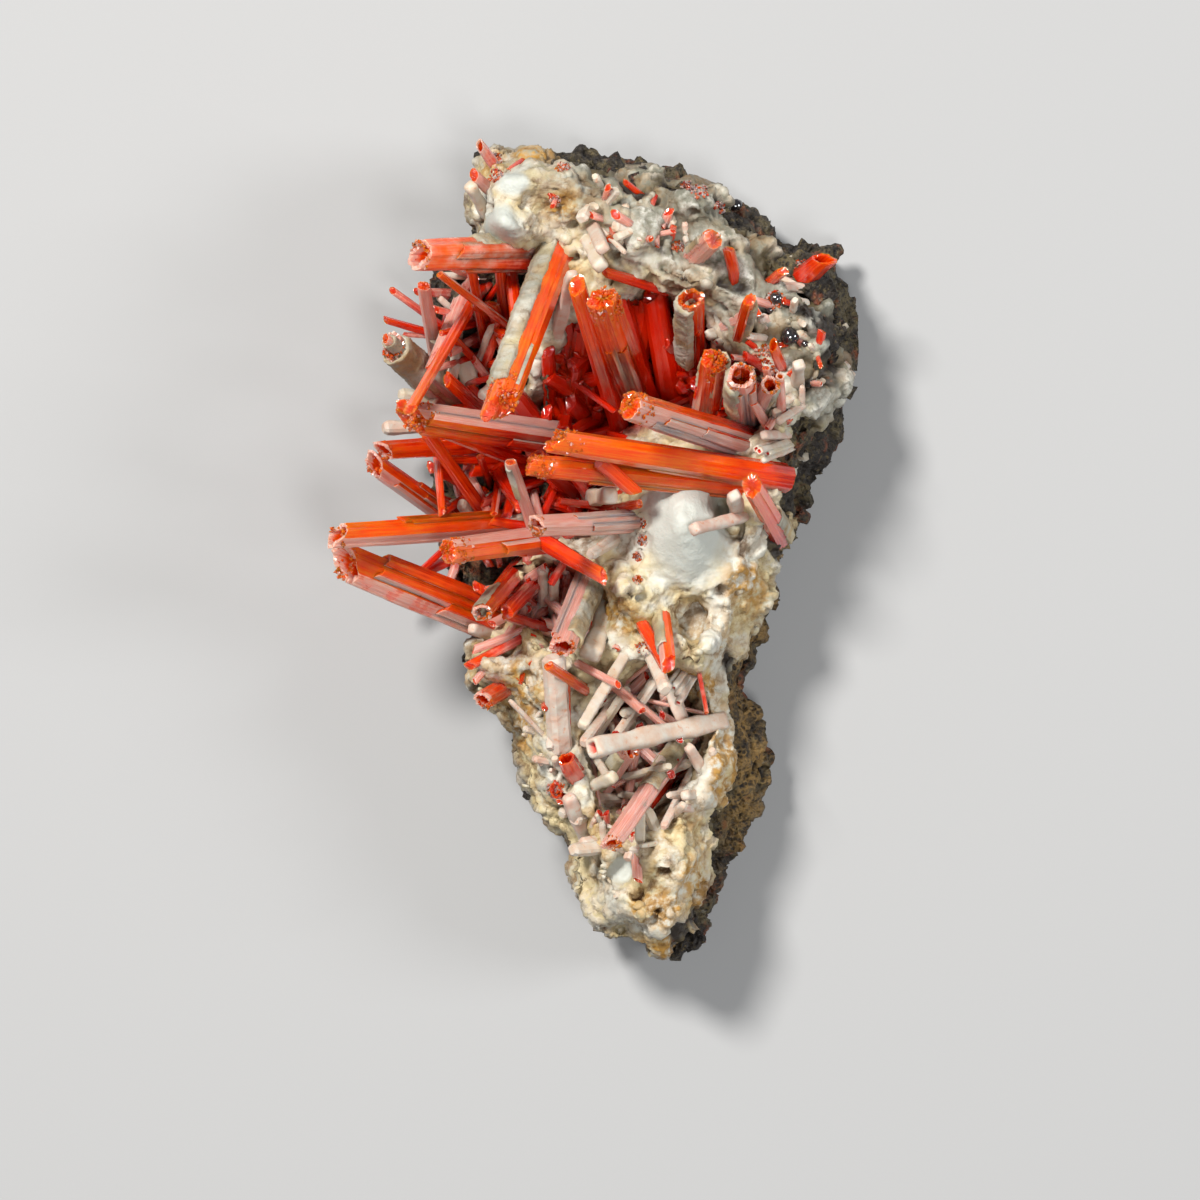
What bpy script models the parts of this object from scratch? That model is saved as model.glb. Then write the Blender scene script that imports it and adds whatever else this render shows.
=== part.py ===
"""Crocoite on matrix: orange-red crocoite prisms on a pale gibbsite crust over dark gossan rock.

The specimen lies on its broken back, as it rests on a shelf. The front, which carries the
crystals, faces up (+Z), and its broad end points to +Y. The origin is under the middle of
the specimen, on the surface that it rests on. Sizes in the tables are millimetres.
"""

import math

import bmesh
import bpy
import numpy as np
from mathutils import Matrix, Vector

MM = 0.001
GAP = 0.3  # room left between two pieces that meet
SEAM_GAP = 0.5  # the same under the crust, whose two faces bend at slightly different places

# Driving dimensions of the rock and its crust
ROCK_CELL = 3.0  # spacing of the facets on the gossan
CRUST_CELL = 2.1  # spacing of the facets on the crust
REST_INSET = 2.6  # how far the resting face lies inside the rock's outline
BACK_BULGE_HEIGHT = 4.5  # height at which the broken back is widest
CRUST_LEVEL = 19.0  # general height of the crust's front
CRUST_EDGE_DROP = 5.0  # how far the crust falls at its outline
CRUST_EDGE_WIDTH = 3.2  # over what width it falls
SEAM_LEVEL = 6.2  # height at which the crust lies on the rock
SEAM_STARTS = (16.5, 30.0)  # x and y past which the rock climbs under the right and top rims
SEAM_CLIMB = (0.60, 0.45)  # how steeply it climbs there
CLEAR_OVER = 40.0  # height above the whole specimen
FLAT_ANGLE = math.radians(1.0)  # facets that meet at less than this are one facet
FLANGE_LEVEL = 7.6  # height of the bare rock behind the left-hand crystals
FLANGE_END = -7.0  # x at which it starts to climb to the right
FLANGE_LEAN = 0.1  # how far that line leans, in x for each y
RIM_RISE = 9.0  # how much higher the rock is past the climb
RIM_CLIMB = 6.0  # width of the climb
ROCK_EDGE_LEVEL = 6.5  # height of the bare rock at its outline
FLANGE_ROUNDING = 1.5  # width over which the flange falls to its outline
RIM_ROUNDING = 4.0  # the same along the high side
HOLLOW_CORE = 0.72  # share of a hollow's half-width that its floor takes
HOLLOW_SLOPE = 0.5  # share over which its wall climbs
CRUST_LUMPS = (5.3, 0.7)  # length and height of the crust's uneven waves
ROCK_LUMPS = (4.3, 1.1)  # the same on the rock's front
ROCK_LUMP_SHIFT = 4.0  # moves the rock's waves out of step with the crust's
BACK_LUMPS = (6.1, 1.2)  # the same round the rock's back
BORDER_MERGE = 0.25  # border corners closer than this share of a cell become one
FOOT_MERGE = 0.3  # corners of the resting face closer than this become one
LEVEL = 1e-6  # a height that counts as on the resting face

# Outlines seen from the front, clockwise from the top left corner
ROCK_OUTLINE = [
    (-12.4, 40.4), (-8.0, 41.6), (-3.8, 41.9), (0.0, 40.4), (4.0, 40.3), (7.2, 39.7),
    (11.5, 37.5), (14.0, 35.7), (16.6, 34.0), (18.5, 31.8), (21.4, 31.7), (24.4, 31.4),
    (25.2, 28.2), (26.0, 25.2), (26.4, 20.7), (25.8, 16.2), (24.6, 12.2), (23.4, 8.7),
    (21.4, 5.6), (20.0, 3.6), (19.2, 0.6), (18.2, -1.4), (17.8, -4.0), (17.3, -7.3),
    (15.6, -9.8), (15.4, -13.8), (16.5, -17.3), (17.0, -20.8), (16.6, -23.8), (14.5, -27.3),
    (13.4, -29.6), (11.8, -31.3), (11.2, -34.8), (11.0, -38.8), (10.0, -41.2), (8.2, -42.0),
    (6.2, -41.2), (4.0, -39.2), (0.4, -38.6), (-1.0, -36.3), (-2.0, -33.3), (-2.2, -30.2),
    (-4.2, -27.7), (-6.6, -25.3), (-7.4, -21.8), (-8.6, -18.3), (-9.2, -15.6), (-12.0, -13.6),
    (-13.6, -11.4), (-13.2, -8.6), (-14.6, -4.8), (-16.2, -0.8), (-17.0, 3.2), (-16.8, 7.2),
    (-17.2, 11.2), (-17.0, 15.2), (-17.0, 18.8), (-16.6, 23.2), (-16.8, 27.2), (-14.4, 30.4),
    (-12.8, 33.0), (-13.0, 36.6),
]
CRUST_OUTLINE = [
    (-12.0, 41.0), (-9.6, 41.2), (-6.0, 41.0), (-3.8, 40.0), (-1.0, 38.8), (2.5, 38.6),
    (6.0, 38.7), (9.6, 38.0), (12.4, 36.6), (14.6, 33.4), (17.6, 30.6), (20.4, 28.4),
    (23.0, 26.4), (24.6, 23.0), (24.8, 18.4), (24.2, 15.2), (21.8, 12.2), (19.6, 9.8),
    (18.8, 7.0), (18.8, 3.2), (18.9, 0.8), (17.6, -1.2), (16.8, -4.6), (15.4, -7.4),
    (14.6, -10.2), (12.8, -11.4), (12.6, -14.8), (13.6, -17.8), (13.8, -21.6), (12.6, -24.4),
    (11.4, -26.4), (11.2, -29.8), (10.8, -33.0), (10.2, -36.6), (9.2, -38.8), (6.8, -41.4),
    (4.8, -40.2), (3.2, -38.9), (1.4, -38.8), (0.2, -37.8), (-0.9, -35.8), (-2.1, -33.4),
    (-2.3, -31.0), (-3.4, -28.4), (-6.4, -25.6), (-7.2, -22.8), (-8.0, -19.2), (-9.0, -16.4),
    (-10.6, -14.6), (-13.4, -13.0), (-13.6, -9.8), (-10.0, -8.6), (-8.2, -4.8), (-7.0, 0.8),
    (-7.2, 7.0), (-7.4, 13.2), (-7.0, 19.0), (-6.4, 25.0), (-7.4, 28.8), (-10.4, 29.4),
    (-12.8, 32.0), (-13.2, 36.6),
]

# Mounds of the crust: centre x, y, half-widths along and across, turn in degrees, rise
CRUST_MOUNDS = [
    (-8.8, 37.0, 4.5, 3.6, 0, 4.0),
    (-10.0, 32.6, 1.9, 1.8, 0, 4.6),
    (-7.6, 31.8, 1.8, 1.7, 0, 3.2),
    (-2.4, 36.2, 4.4, 3.6, -30, 3.6),
    (3.6, 31.8, 3.4, 2.6, -20, 2.6),
    (9.4, 35.0, 3.6, 2.4, -30, 2.6),
    (14.6, 31.6, 2.8, 2.2, -30, 2.0),
    (9.0, 27.2, 5.2, 2.2, -10, 3.4),
    (21.6, 24.6, 2.6, 2.4, 0, 2.2),
    (20.4, 15.4, 4.8, 2.0, 30, 2.2),
    (8.2, 2.6, 4.4, 6.2, 12, 6.6),
    (2.6, -4.0, 3.8, 2.4, -40, 4.6),
    (9.6, -9.8, 3.8, 2.2, -10, 4.2),
    (15.2, -3.6, 2.4, 2.8, 0, 2.0),
    (-5.2, -14.0, 1.9, 6.0, 0, 2.6),
    (-12.0, -11.4, 1.8, 2.0, 0, 1.4),
    (0.0, -32.6, 2.4, 4.4, 0, 1.2),
    (6.2, -31.0, 3.2, 3.0, 0, 3.0),
    (9.6, -32.0, 1.8, 3.6, 0, 1.2),
    (5.2, -35.8, 3.2, 2.0, -8, 1.6),
]
# Vugs and pits: centre x, y, half-widths along and across, turn in degrees, floor height
CRUST_HOLLOWS = [
    (3.2, 18.6, 9.4, 6.6, 24, 8.4),
    (-3.4, 9.6, 5.8, 7.4, 0, 8.4),
    (12.0, 15.4, 4.6, 4.6, 0, 11.0),
    (12.6, 3.6, 1.2, 2.4, 20, 16.5),
    (-3.6, -5.4, 4.2, 4.8, 30, 10.5),
    (4.8, -19.0, 5.8, 7.6, -14, 8.2),
    (9.2, -6.8, 1.3, 2.3, 0, 17.0),
    (2.2, -31.8, 1.6, 1.8, 0, 13.0),
]

# Crystals: node, root, tip, width, thickness, roll in degrees, hollow end or not.
# Rows that share a node's name are crystals grown together, joined in one solid.
CRYSTALS = [
    # The lattice on the left
    ("top_left_beam", (-7.5, 30.1, 16.5), (-18.1, 29.4, 26.0), 3.6, 3.0, 12, True),
    ("left_edge_prism", (-16.7, 19.6, 5.0), (-17.6, 26.6, 21.0), 1.6, 1.4, 40, False),
    ("left_bright_needle", (-8.4, 22.3, 10.0), (-15.9, 27.5, 26.0), 0.9, 0.8, 30, False),
    ("left_slender_prism", (-11.2, 18.6, 5.0), (-13.0, 28.8, 18.0), 1.2, 1.0, 35, False),
    ("left_crossed_pair", (-13.0, 28.4, 6.0), (-16.7, 18.6, 17.0), 1.8, 1.2, 10, False),
    ("left_crossed_pair", (-12.0, 27.2, 6.5), (-18.7, 13.9, 31.0), 1.4, 1.2, 45, False),
    ("left_red_needle", (-9.9, 16.6, 5.6), (-14.8, 21.8, 11.8), 1.0, 0.8, 40, False),
    ("left_glowing_prism", (-8.6, 17.0, 6.0), (-10.9, 25.2, 13.0), 1.5, 1.2, 15, False),
    ("left_upright_prism", (-9.4, 21.2, 6.0), (-10.1, 29.0, 16.5), 1.4, 1.2, 45, False),
    ("sleeved_giant", (-3.4, 32.7, 15.0), (-9.8, 14.2, 34.0), 3.8, 3.4, 35, True),
    ("left_sleeved_stub", (-15.0, 15.6, 6.0), (-20.8, 20.6, 20.0), 3.0, 2.4, 10, False),
    ("left_sleeved_stub", (-17.8, 18.6, 15.0), (-21.4, 21.3, 22.0), 1.2, 1.0, 0, False),
    ("shadow_blade", (-10.8, 13.4, 6.0), (-15.4, 17.4, 16.0), 1.6, 1.0, 20, False),
    ("cream_column", (-12.6, 14.0, 6.0), (-13.9, 20.4, 8.6), 1.7, 1.5, 0, False),
    # The fan that reaches out to the left
    ("upper_left_twin", (0.0, 10.9, 7.5), (-18.8, 13.4, 27.5), 3.6, 2.8, 20, False),
    ("upper_left_twin", (-5.2, 8.2, 7.0), (-18.6, 13.1, 26.8), 1.6, 1.4, 40, False),
    ("crossing_red_prism", (-10.3, 2.0, 6.0), (-17.5, 12.2, 21.5), 1.6, 1.3, 40, False),
    ("thin_upright_needle", (-16.9, 12.7, 6.0), (-15.8, 4.0, 20.5), 1.0, 0.8, 45, False),
    ("glassy_needle", (-10.3, 7.8, 6.0), (-10.6, 3.8, 21.0), 0.8, 0.6, 0, False),
    ("inner_orange_prism", (-11.0, 9.0, 6.0), (-8.0, 4.6, 21.0), 1.5, 1.2, 30, False),
    ("left_v_pair", (-13.0, 1.9, 6.0), (-22.6, 8.9, 22.0), 2.4, 2.0, 30, True),
    ("left_v_pair", (-10.2, 11.4, 6.0), (-21.7, 10.1, 22.0), 2.2, 1.8, 10, True),
    ("left_long_prism", (-4.0, 3.2, 8.0), (-26.2, 1.5, 29.0), 2.8, 2.6, 42, True),
    ("left_glowing_blade", (-7.2, -8.6, 7.0), (-25.5, -0.9, 25.0), 4.4, 2.6, 12, True),
    ("cross_cluster", (0.0, 2.2, 10.0), (-15.0, -0.1, 31.0), 3.0, 2.6, 38, True),
    ("cross_cluster", (-6.5, 1.5, 19.5), (0.4, -2.5, 27.0), 1.8, 1.2, 20, False),
    ("cross_cluster", (-6.6, 2.2, 19.5), (-8.8, 8.8, 31.0), 1.4, 1.2, 40, False),
    ("pink_hollow_prism", (3.5, 3.1, 19.0), (-6.3, 2.4, 36.0), 2.4, 2.2, 5, True),
    ("pale_stub", (-2.4, 5.4, 7.0), (1.1, 5.6, 25.0), 1.6, 1.4, 0, False),
    # The middle of the vug
    ("cream_finger", (-5.4, 18.2, 7.0), (-2.7, 27.4, 29.0), 1.2, 1.1, 20, True),
    ("central_giant", (4.9, 13.5, 7.0), (0.2, 24.9, 33.0), 3.8, 3.0, 15, True),
    ("central_giant", (2.4, 11.5, 7.0), (-2.3, 26.2, 31.0), 2.2, 2.0, 40, False),
    ("deep_red_wedge", (-3.0, 12.6, 7.0), (-1.5, 23.0, 17.0), 2.4, 1.8, 40, False),
    ("vug_back_prism", (-4.9, 13.4, 7.0), (-5.2, 20.2, 16.0), 1.6, 1.2, 30, False),
    ("orange_needle", (6.8, 26.3, 17.0), (0.4, 27.9, 22.0), 1.2, 0.9, 20, False),
    ("vug_shadow_needle", (3.4, 16.6, 7.0), (4.4, 25.2, 15.0), 1.2, 1.0, 40, False),
    ("sheathed_stub", (9.3, 17.8, 8.0), (9.0, 25.0, 29.0), 2.8, 2.4, 5, True),
    ("orange_stub", (13.3, 18.6, 9.0), (14.8, 24.9, 28.0), 1.6, 1.4, 30, False),
    ("rim_square_prism", (8.6, 28.8, 15.0), (11.2, 30.9, 27.0), 2.4, 2.2, 40, False),
    ("rim_shadow_prism", (14.8, 25.4, 12.0), (18.3, 28.0, 22.0), 1.2, 1.0, 30, False),
    ("hollow_pair", (14.8, 13.1, 9.0), (13.8, 17.2, 34.0), 3.4, 3.0, 25, True),
    ("hollow_pair", (15.4, 13.3, 12.0), (16.8, 16.4, 30.0), 2.2, 2.0, 30, True),
    ("capped_red_prism", (10.4, 10.8, 9.0), (11.3, 19.0, 28.0), 3.2, 2.6, 40, False),
    ("pink_giant", (16.8, 10.4, 13.0), (2.8, 14.2, 37.0), 3.5, 3.0, 20, True),
    ("striated_beam", (18.8, 7.5, 17.0), (-4.4, 10.8, 35.0), 2.8, 2.6, 30, True),
    ("striated_beam", (16.0, 6.5, 18.0), (-6.9, 8.4, 32.5), 2.4, 2.2, 20, False),
    ("striated_beam", (0.0, 8.8, 30.0), (3.3, 6.0, 27.5), 1.8, 1.4, 40, False),
    ("flame_red_prism", (18.4, 1.6, 13.0), (15.0, 6.6, 27.0), 2.6, 2.2, 35, False),
    # The shelf and the lower vug
    ("glossy_hollow_prism", (-7.6, -0.8, 6.0), (-11.7, -6.1, 27.0), 2.2, 2.0, 20, True),
    ("shaded_hollow_prism", (-5.1, -1.4, 7.0), (-9.3, -6.0, 21.0), 1.9, 1.6, 30, False),
    ("lower_left_bar", (-3.2, -8.4, 8.0), (-9.5, -6.3, 18.5), 1.3, 1.1, 40, False),
    ("striped_stub", (-6.6, -11.8, 9.0), (-11.8, -14.9, 20.0), 2.2, 1.8, 15, True),
    ("pale_hollow_prism", (-0.6, -2.0, 12.0), (-3.7, -9.6, 27.0), 3.0, 2.4, 10, True),
    ("pale_side_prism", (1.2, -4.6, 12.0), (-1.0, -10.3, 22.0), 2.0, 1.6, 0, False),
    ("bright_orange_bar", (3.8, -17.4, 7.0), (-5.1, -11.3, 27.0), 1.2, 1.0, 30, False),
    ("pale_diagonal", (3.6, -8.6, 16.5), (-1.8, -17.3, 28.0), 1.1, 1.0, 10, False),
    ("shelf_prism", (5.9, -4.2, 17.0), (6.8, -11.2, 27.0), 2.0, 1.6, 45, False),
    ("vug_needle", (5.6, -10.0, 12.0), (8.4, -17.0, 16.5), 1.2, 1.0, 20, False),
    ("pale_crossbar", (12.4, -17.0, 14.5), (-0.8, -19.4, 29.0), 1.9, 1.6, 10, True),
    ("long_pale_prism", (10.2, -16.6, 9.0), (1.1, -29.0, 28.0), 2.2, 1.8, 20, True),
    ("long_pale_prism", (4.0, -25.0, 22.6), (4.0, -29.0, 20.5), 1.0, 0.9, 0, False),
    ("pale_strut", (12.4, -25.4, 12.0), (8.8, -19.4, 19.5), 1.1, 1.0, 10, False),
    ("pink_vug_prism", (-0.6, -24.8, 11.0), (3.0, -19.6, 19.0), 2.2, 1.8, 10, False),
    ("red_vug_prism", (9.2, -20.2, 7.0), (4.1, -26.4, 17.0), 1.4, 1.2, 40, False),
]
SECTION_CORNER = 0.30  # share of the half-width that the prisms' blunt corners take
TIP_SLANT = 0.35  # how far the end face leans, as a share of the width
TIP_TAPER = 0.92  # width at the tip against the root
HOLLOW_WALL = 0.2  # wall of a hollow end, as a share of the width
HOLLOW_DEPTH = 0.9  # depth of a hollow end, as a share of the width
HOLLOW_FLOOR = 0.7  # width of the hollow's floor against its mouth

SHEATH_THICKNESS = 0.9  # thickness of a sheathed crystal against its width
SHEATH_ROLL = 15.0  # its roll in degrees

# Crystals fully sheathed in crust, one with it: root, tip, width
SHEATHED = [
    ((-2.2, 33.0, 17.0), (0.1, 28.2, 25.0), 1.3),
    ((-1.2, 33.7, 18.0), (0.3, 29.9, 27.0), 1.3),
    ((25.0, 18.6, 12.0), (16.3, 13.2, 25.0), 2.1),
    ((19.4, 11.0, 15.0), (15.3, 9.4, 27.0), 1.5),
    ((19.4, 11.8, 15.0), (16.2, 11.6, 24.5), 0.9),
    ((19.8, 15.4, 15.0), (19.7, 18.6, 26.0), 1.2),
    ((14.0, 3.0, 14.0), (13.3, 5.6, 26.0), 1.4),
    ((16.6, 4.1, 16.0), (9.2, 2.2, 27.0), 1.2),
    ((15.0, 22.7, 11.0), (10.6, 21.3, 17.0), 1.5),
    ((10.0, -10.4, 16.0), (6.8, -14.9, 22.5), 1.8),
    ((5.0, -28.4, 13.0), (8.4, -25.2, 21.0), 0.9),
    ((11.0, -24.5, 13.0), (8.4, -24.3, 21.0), 1.0),
    ((10.8, -26.0, 13.0), (8.4, -25.6, 20.0), 0.9),
    ((-3.4, -24.8, 13.0), (1.4, -22.4, 21.0), 1.2),
    ((-1.0, -30.0, 14.0), (-3.2, -24.4, 20.0), 1.4),
    ((0.6, -29.5, 14.0), (-2.9, -29.9, 18.0), 1.2),
    ((1.0, -12.2, 8.5), (5.6, -17.2, 14.5), 1.2),
    ((-11.4, 34.0, 17.0), (-13.0, 36.6, 22.0), 1.2),
    ((-9.6, -9.0, 11.0), (-13.0, -7.6, 17.0), 1.1),
]

COLOURS = {
    "gossan": ((0.055, 0.040, 0.028), 0.85),
    "crust": ((0.72, 0.68, 0.56), 0.70),
    "crocoite": ((0.80, 0.13, 0.02), 0.22),
    "filmed": ((0.82, 0.42, 0.32), 0.45),
    "sheathed": ((0.80, 0.72, 0.62), 0.65),
}
FILMED_NODES = {
    "top_left_beam", "left_edge_prism", "pink_hollow_prism", "pink_giant", "rim_square_prism",
    "hollow_pair", "pink_vug_prism", "shelf_prism", "pale_hollow_prism",
}
SHEATHED_NODES = {
    "sleeved_giant", "left_sleeved_stub", "cream_column", "cream_finger", "sheathed_stub",
    "pale_stub", "pale_side_prism", "pale_diagonal", "pale_crossbar", "long_pale_prism",
    "pale_strut", "vug_needle",
}


def clear_scene():
    """Takes away whatever objects the file opened with."""
    for obj in list(bpy.data.objects):
        bpy.data.objects.remove(obj, do_unlink=True)


def finish(name, look):
    """A Principled material with the mineral's colour and roughness."""
    colour, roughness = COLOURS[look]
    material = bpy.data.materials.new(name)
    material.use_nodes = True
    shader = material.node_tree.nodes["Principled BSDF"]
    shader.inputs["Base Color"].default_value = (*colour, 1.0)
    shader.inputs["Roughness"].default_value = roughness
    shader.inputs["Metallic"].default_value = 0.0
    return material


def add_object(name, bm, look, collection=None):
    """An object of the finished mesh, with its mineral's material."""
    mesh = bpy.data.meshes.new(name)
    bm.to_mesh(mesh)
    bm.free()
    mesh.materials.append(finish(name, look))
    obj = bpy.data.objects.new(name, mesh)
    (collection or bpy.context.scene.collection).objects.link(obj)
    return obj


def make_helper(obj):
    """Cutters and joined members take part in Booleans but aren't pieces of their own."""
    obj.hide_render = True
    obj.display_type = "WIRE"


def inside(outline, x, y):
    """True where the points (arrays x, y) lie inside the closed outline."""
    x, y = np.asarray(x, float), np.asarray(y, float)
    found = np.zeros(x.shape, bool)
    for (x0, y0), (x1, y1) in zip(outline, outline[1:] + outline[:1]):
        crosses = (y0 > y) != (y1 > y)
        with np.errstate(divide="ignore", invalid="ignore"):
            at = (x1 - x0) * (y - y0) / (y1 - y0) + x0
        found ^= crosses & (x < at)
    return found


def nearest_on(outline, x, y):
    """The nearest point of the outline to each point, and its distance."""
    x, y = np.asarray(x, float), np.asarray(y, float)
    best = np.full(x.shape, 1e9)
    near_x, near_y = np.zeros(x.shape), np.zeros(x.shape)
    for (x0, y0), (x1, y1) in zip(outline, outline[1:] + outline[:1]):
        dx, dy = x1 - x0, y1 - y0
        t = np.clip(((x - x0) * dx + (y - y0) * dy) / (dx * dx + dy * dy), 0, 1)
        px, py = x0 + t * dx, y0 + t * dy
        distance = np.hypot(x - px, y - py)
        closer = distance < best
        best = np.where(closer, distance, best)
        near_x, near_y = np.where(closer, px, near_x), np.where(closer, py, near_y)
    return near_x, near_y, best


def reach(form, x, y):
    """Distance from a mound's or hollow's centre, where 1 is its own edge."""
    cx, cy, along, across, turn = form[:5]
    c, s = math.cos(math.radians(turn)), math.sin(math.radians(turn))
    u, v = (x - cx) * c + (y - cy) * s, -(x - cx) * s + (y - cy) * c
    return np.hypot(u / along, v / across)


def smooth(t):
    """3t2 - 2t3 on t held between 0 and 1."""
    t = np.clip(t, 0, 1)
    return t * t * (3 - 2 * t)


def roughness(x, y, wavelength, height):
    """Uneven facets: three crossed waves whose lengths have no common measure."""
    k = 2 * math.pi / wavelength
    a = np.sin(k * x + 1.7 * np.sin(0.61 * k * y + 0.4))
    b = np.sin(1.31 * k * y + 1.3 * np.sin(0.83 * k * x + 2.1))
    c = np.sin(0.77 * k * (x + y) + 1.1 * np.sin(1.13 * k * (x - y)))
    return height * (a + b + c) / 3


def crust_top(x, y):
    """Front of the crust: a level sheet with mounds, hollowed by vugs, falling at its outline."""
    edge = nearest_on(CRUST_OUTLINE, x, y)[2]
    z = CRUST_LEVEL - CRUST_EDGE_DROP * (1 - smooth(edge / CRUST_EDGE_WIDTH))
    for mound in CRUST_MOUNDS:
        z = z + mound[5] * np.exp(-(reach(mound, x, y) ** 2))
    for hollow in CRUST_HOLLOWS:
        into = 1 - smooth((reach(hollow, x, y) - HOLLOW_CORE) / HOLLOW_SLOPE)
        z = z + into * (np.minimum(z, hollow[5]) - z)
    return z + roughness(x, y, *CRUST_LUMPS)


def crust_under(x, y):
    """Where the crust meets the rock: level, and climbing with the rock under two rims."""
    to_right = np.maximum(x - SEAM_STARTS[0], 0) * SEAM_CLIMB[0]
    to_top = np.maximum(y - SEAM_STARTS[1], 0) * SEAM_CLIMB[1]
    return SEAM_LEVEL + np.maximum(to_right, to_top)


def rock_top(x, y):
    """Front of the gossan: low behind the left-hand crystals, higher along the bare right side."""
    edge = nearest_on(ROCK_OUTLINE, x, y)[2]
    right = smooth((x - FLANGE_END + FLANGE_LEAN * y) / RIM_CLIMB)
    middle = FLANGE_LEVEL + right * RIM_RISE
    rounding = FLANGE_ROUNDING + right * (RIM_ROUNDING - FLANGE_ROUNDING)
    z = ROCK_EDGE_LEVEL + (middle - ROCK_EDGE_LEVEL) * smooth(edge / rounding)
    return z + roughness(x, y + ROCK_LUMP_SHIFT, *ROCK_LUMPS)


def grid_over(outline, cell):
    """A mesh of square cells trimmed to an outline, its border moved onto the outline."""
    half = int(max(abs(c) for point in outline for c in point) / cell) + 2
    bm = bmesh.new()
    bmesh.ops.create_grid(bm, x_segments=2 * half, y_segments=2 * half, size=half * cell)
    centres = [face.calc_center_median() for face in bm.faces]
    keep = inside(outline, [c.x for c in centres], [c.y for c in centres])
    outside = [face for face, kept in zip(list(bm.faces), keep) if not kept]
    bmesh.ops.delete(bm, geom=outside, context="FACES")
    # A face joined to the rest by one corner only would pinch the solid
    corners = [v for v in bm.verts if sum(e.is_boundary for e in v.link_edges) > 2]
    bmesh.ops.delete(bm, geom=[f for v in corners for f in v.link_faces], context="FACES")
    border = [v for v in bm.verts if v.is_boundary]
    near_x, near_y, _ = nearest_on(outline, [v.co.x for v in border], [v.co.y for v in border])
    for vert, x, y in zip(border, near_x, near_y):
        vert.co.x, vert.co.y = x, y
    bmesh.ops.remove_doubles(bm, verts=bm.verts, dist=BORDER_MERGE * cell)
    return bm


def set_heights(verts, height_of):
    """Moves each corner to the height of its own x and y."""
    heights = height_of(np.array([v.co.x for v in verts]), np.array([v.co.y for v in verts]))
    for vert, z in zip(verts, heights):
        vert.co.z = z


def slab(outline, cell, top_of, under_of):
    """A closed solid over an outline: its front and its underside are two copies of one grid."""
    bm = grid_over(outline, cell)
    lower = list(bm.verts)
    made = bmesh.ops.extrude_face_region(bm, geom=list(bm.faces), use_keep_orig=True)
    upper = [g for g in made["geom"] if isinstance(g, bmesh.types.BMVert)]
    set_heights(upper, top_of)
    set_heights(lower, under_of)
    return bm, lower


def scale_to_metres(bm):
    """The tables are millimetres and the model is metres."""
    bmesh.ops.scale(bm, vec=(MM, MM, MM), verts=bm.verts)


def build_crust():
    """The gibbsite crust: lumps, ledges, vugs and pits on a seam with few facets."""
    bm, lower = slab(CRUST_OUTLINE, CRUST_CELL, crust_top, crust_under)
    merge_flat_facets(bm, lower)
    scale_to_metres(bm)
    return bm


def build_crust_room():
    """The space over the rock that the crust needs, open to above the whole specimen."""
    outline = grown_outline(CRUST_OUTLINE, GAP)
    bm, lower = slab(outline, CRUST_CELL, lambda x, y: CLEAR_OVER + 0 * x,
                     lambda x, y: crust_under(x, y) - SEAM_GAP)
    merge_flat_facets(bm, list(bm.verts))
    scale_to_metres(bm)
    return bm


def merge_flat_facets(bm, verts):
    """Joins the facets between these corners that lie in one plane, and closes with triangles."""
    chosen = set(verts)
    edges = [e for e in bm.edges if e.verts[0] in chosen and e.verts[1] in chosen]
    bmesh.ops.dissolve_limit(bm, angle_limit=FLAT_ANGLE, verts=[], edges=edges)
    bmesh.ops.triangulate(bm, faces=bm.faces)
    bmesh.ops.recalc_face_normals(bm, faces=bm.faces)


def grown_outline(outline, grow):
    """The outline moved outwards by grow along each corner's mean normal."""
    points = [Vector(p) for p in outline]
    grown = []
    for before, here, after in zip(points[-1:] + points[:-1], points, points[1:] + points[:1]):
        along = (after - before).normalized()
        grown.append(tuple(here + grow * Vector((-along.y, along.x))))
    return grown


def build_rock():
    """The gossan: a broken slab, widest a little above the flat face that it rests on."""
    bm, lower = slab(ROCK_OUTLINE, ROCK_CELL, rock_top, lambda x, y: 0 * x)
    foot = set(lower)
    walls = [e for e in bm.edges if (e.verts[0] in foot) != (e.verts[1] in foot)]
    cut = bmesh.ops.subdivide_edges(bm, edges=walls, cuts=1)
    for vert in [g for g in cut["geom_inner"] if isinstance(g, bmesh.types.BMVert)]:
        vert.co.z = BACK_BULGE_HEIGHT + roughness(vert.co.x, vert.co.y, *BACK_LUMPS)
    rest_outline = grown_outline(ROCK_OUTLINE, -REST_INSET)
    foot = [v for v in bm.verts if abs(v.co.z) < LEVEL]
    xs, ys = [v.co.x for v in foot], [v.co.y for v in foot]
    near_x, near_y, _ = nearest_on(rest_outline, xs, ys)
    within = inside(rest_outline, xs, ys)
    for vert, x, y, kept in zip(foot, near_x, near_y, within):
        if not kept:
            vert.co.x, vert.co.y = x, y
    bmesh.ops.remove_doubles(bm, verts=foot, dist=FOOT_MERGE)
    flat = [f for f in bm.faces if all(abs(v.co.z) < LEVEL for v in f.verts)]
    bmesh.ops.dissolve_faces(bm, faces=flat)
    bmesh.ops.triangulate(bm, faces=bm.faces)
    bmesh.ops.recalc_face_normals(bm, faces=bm.faces)
    scale_to_metres(bm)
    return bm


def section(width, thickness):
    """A blunt-cornered rhombic section, the shape across a crocoite prism."""
    a, b, c = width / 2, thickness / 2, SECTION_CORNER
    return [
        (a, -b * c), (a, b * c), (a * c, b), (-a * c, b),
        (-a, b * c), (-a, -b * c), (-a * c, -b), (a * c, -b),
    ]


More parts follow.
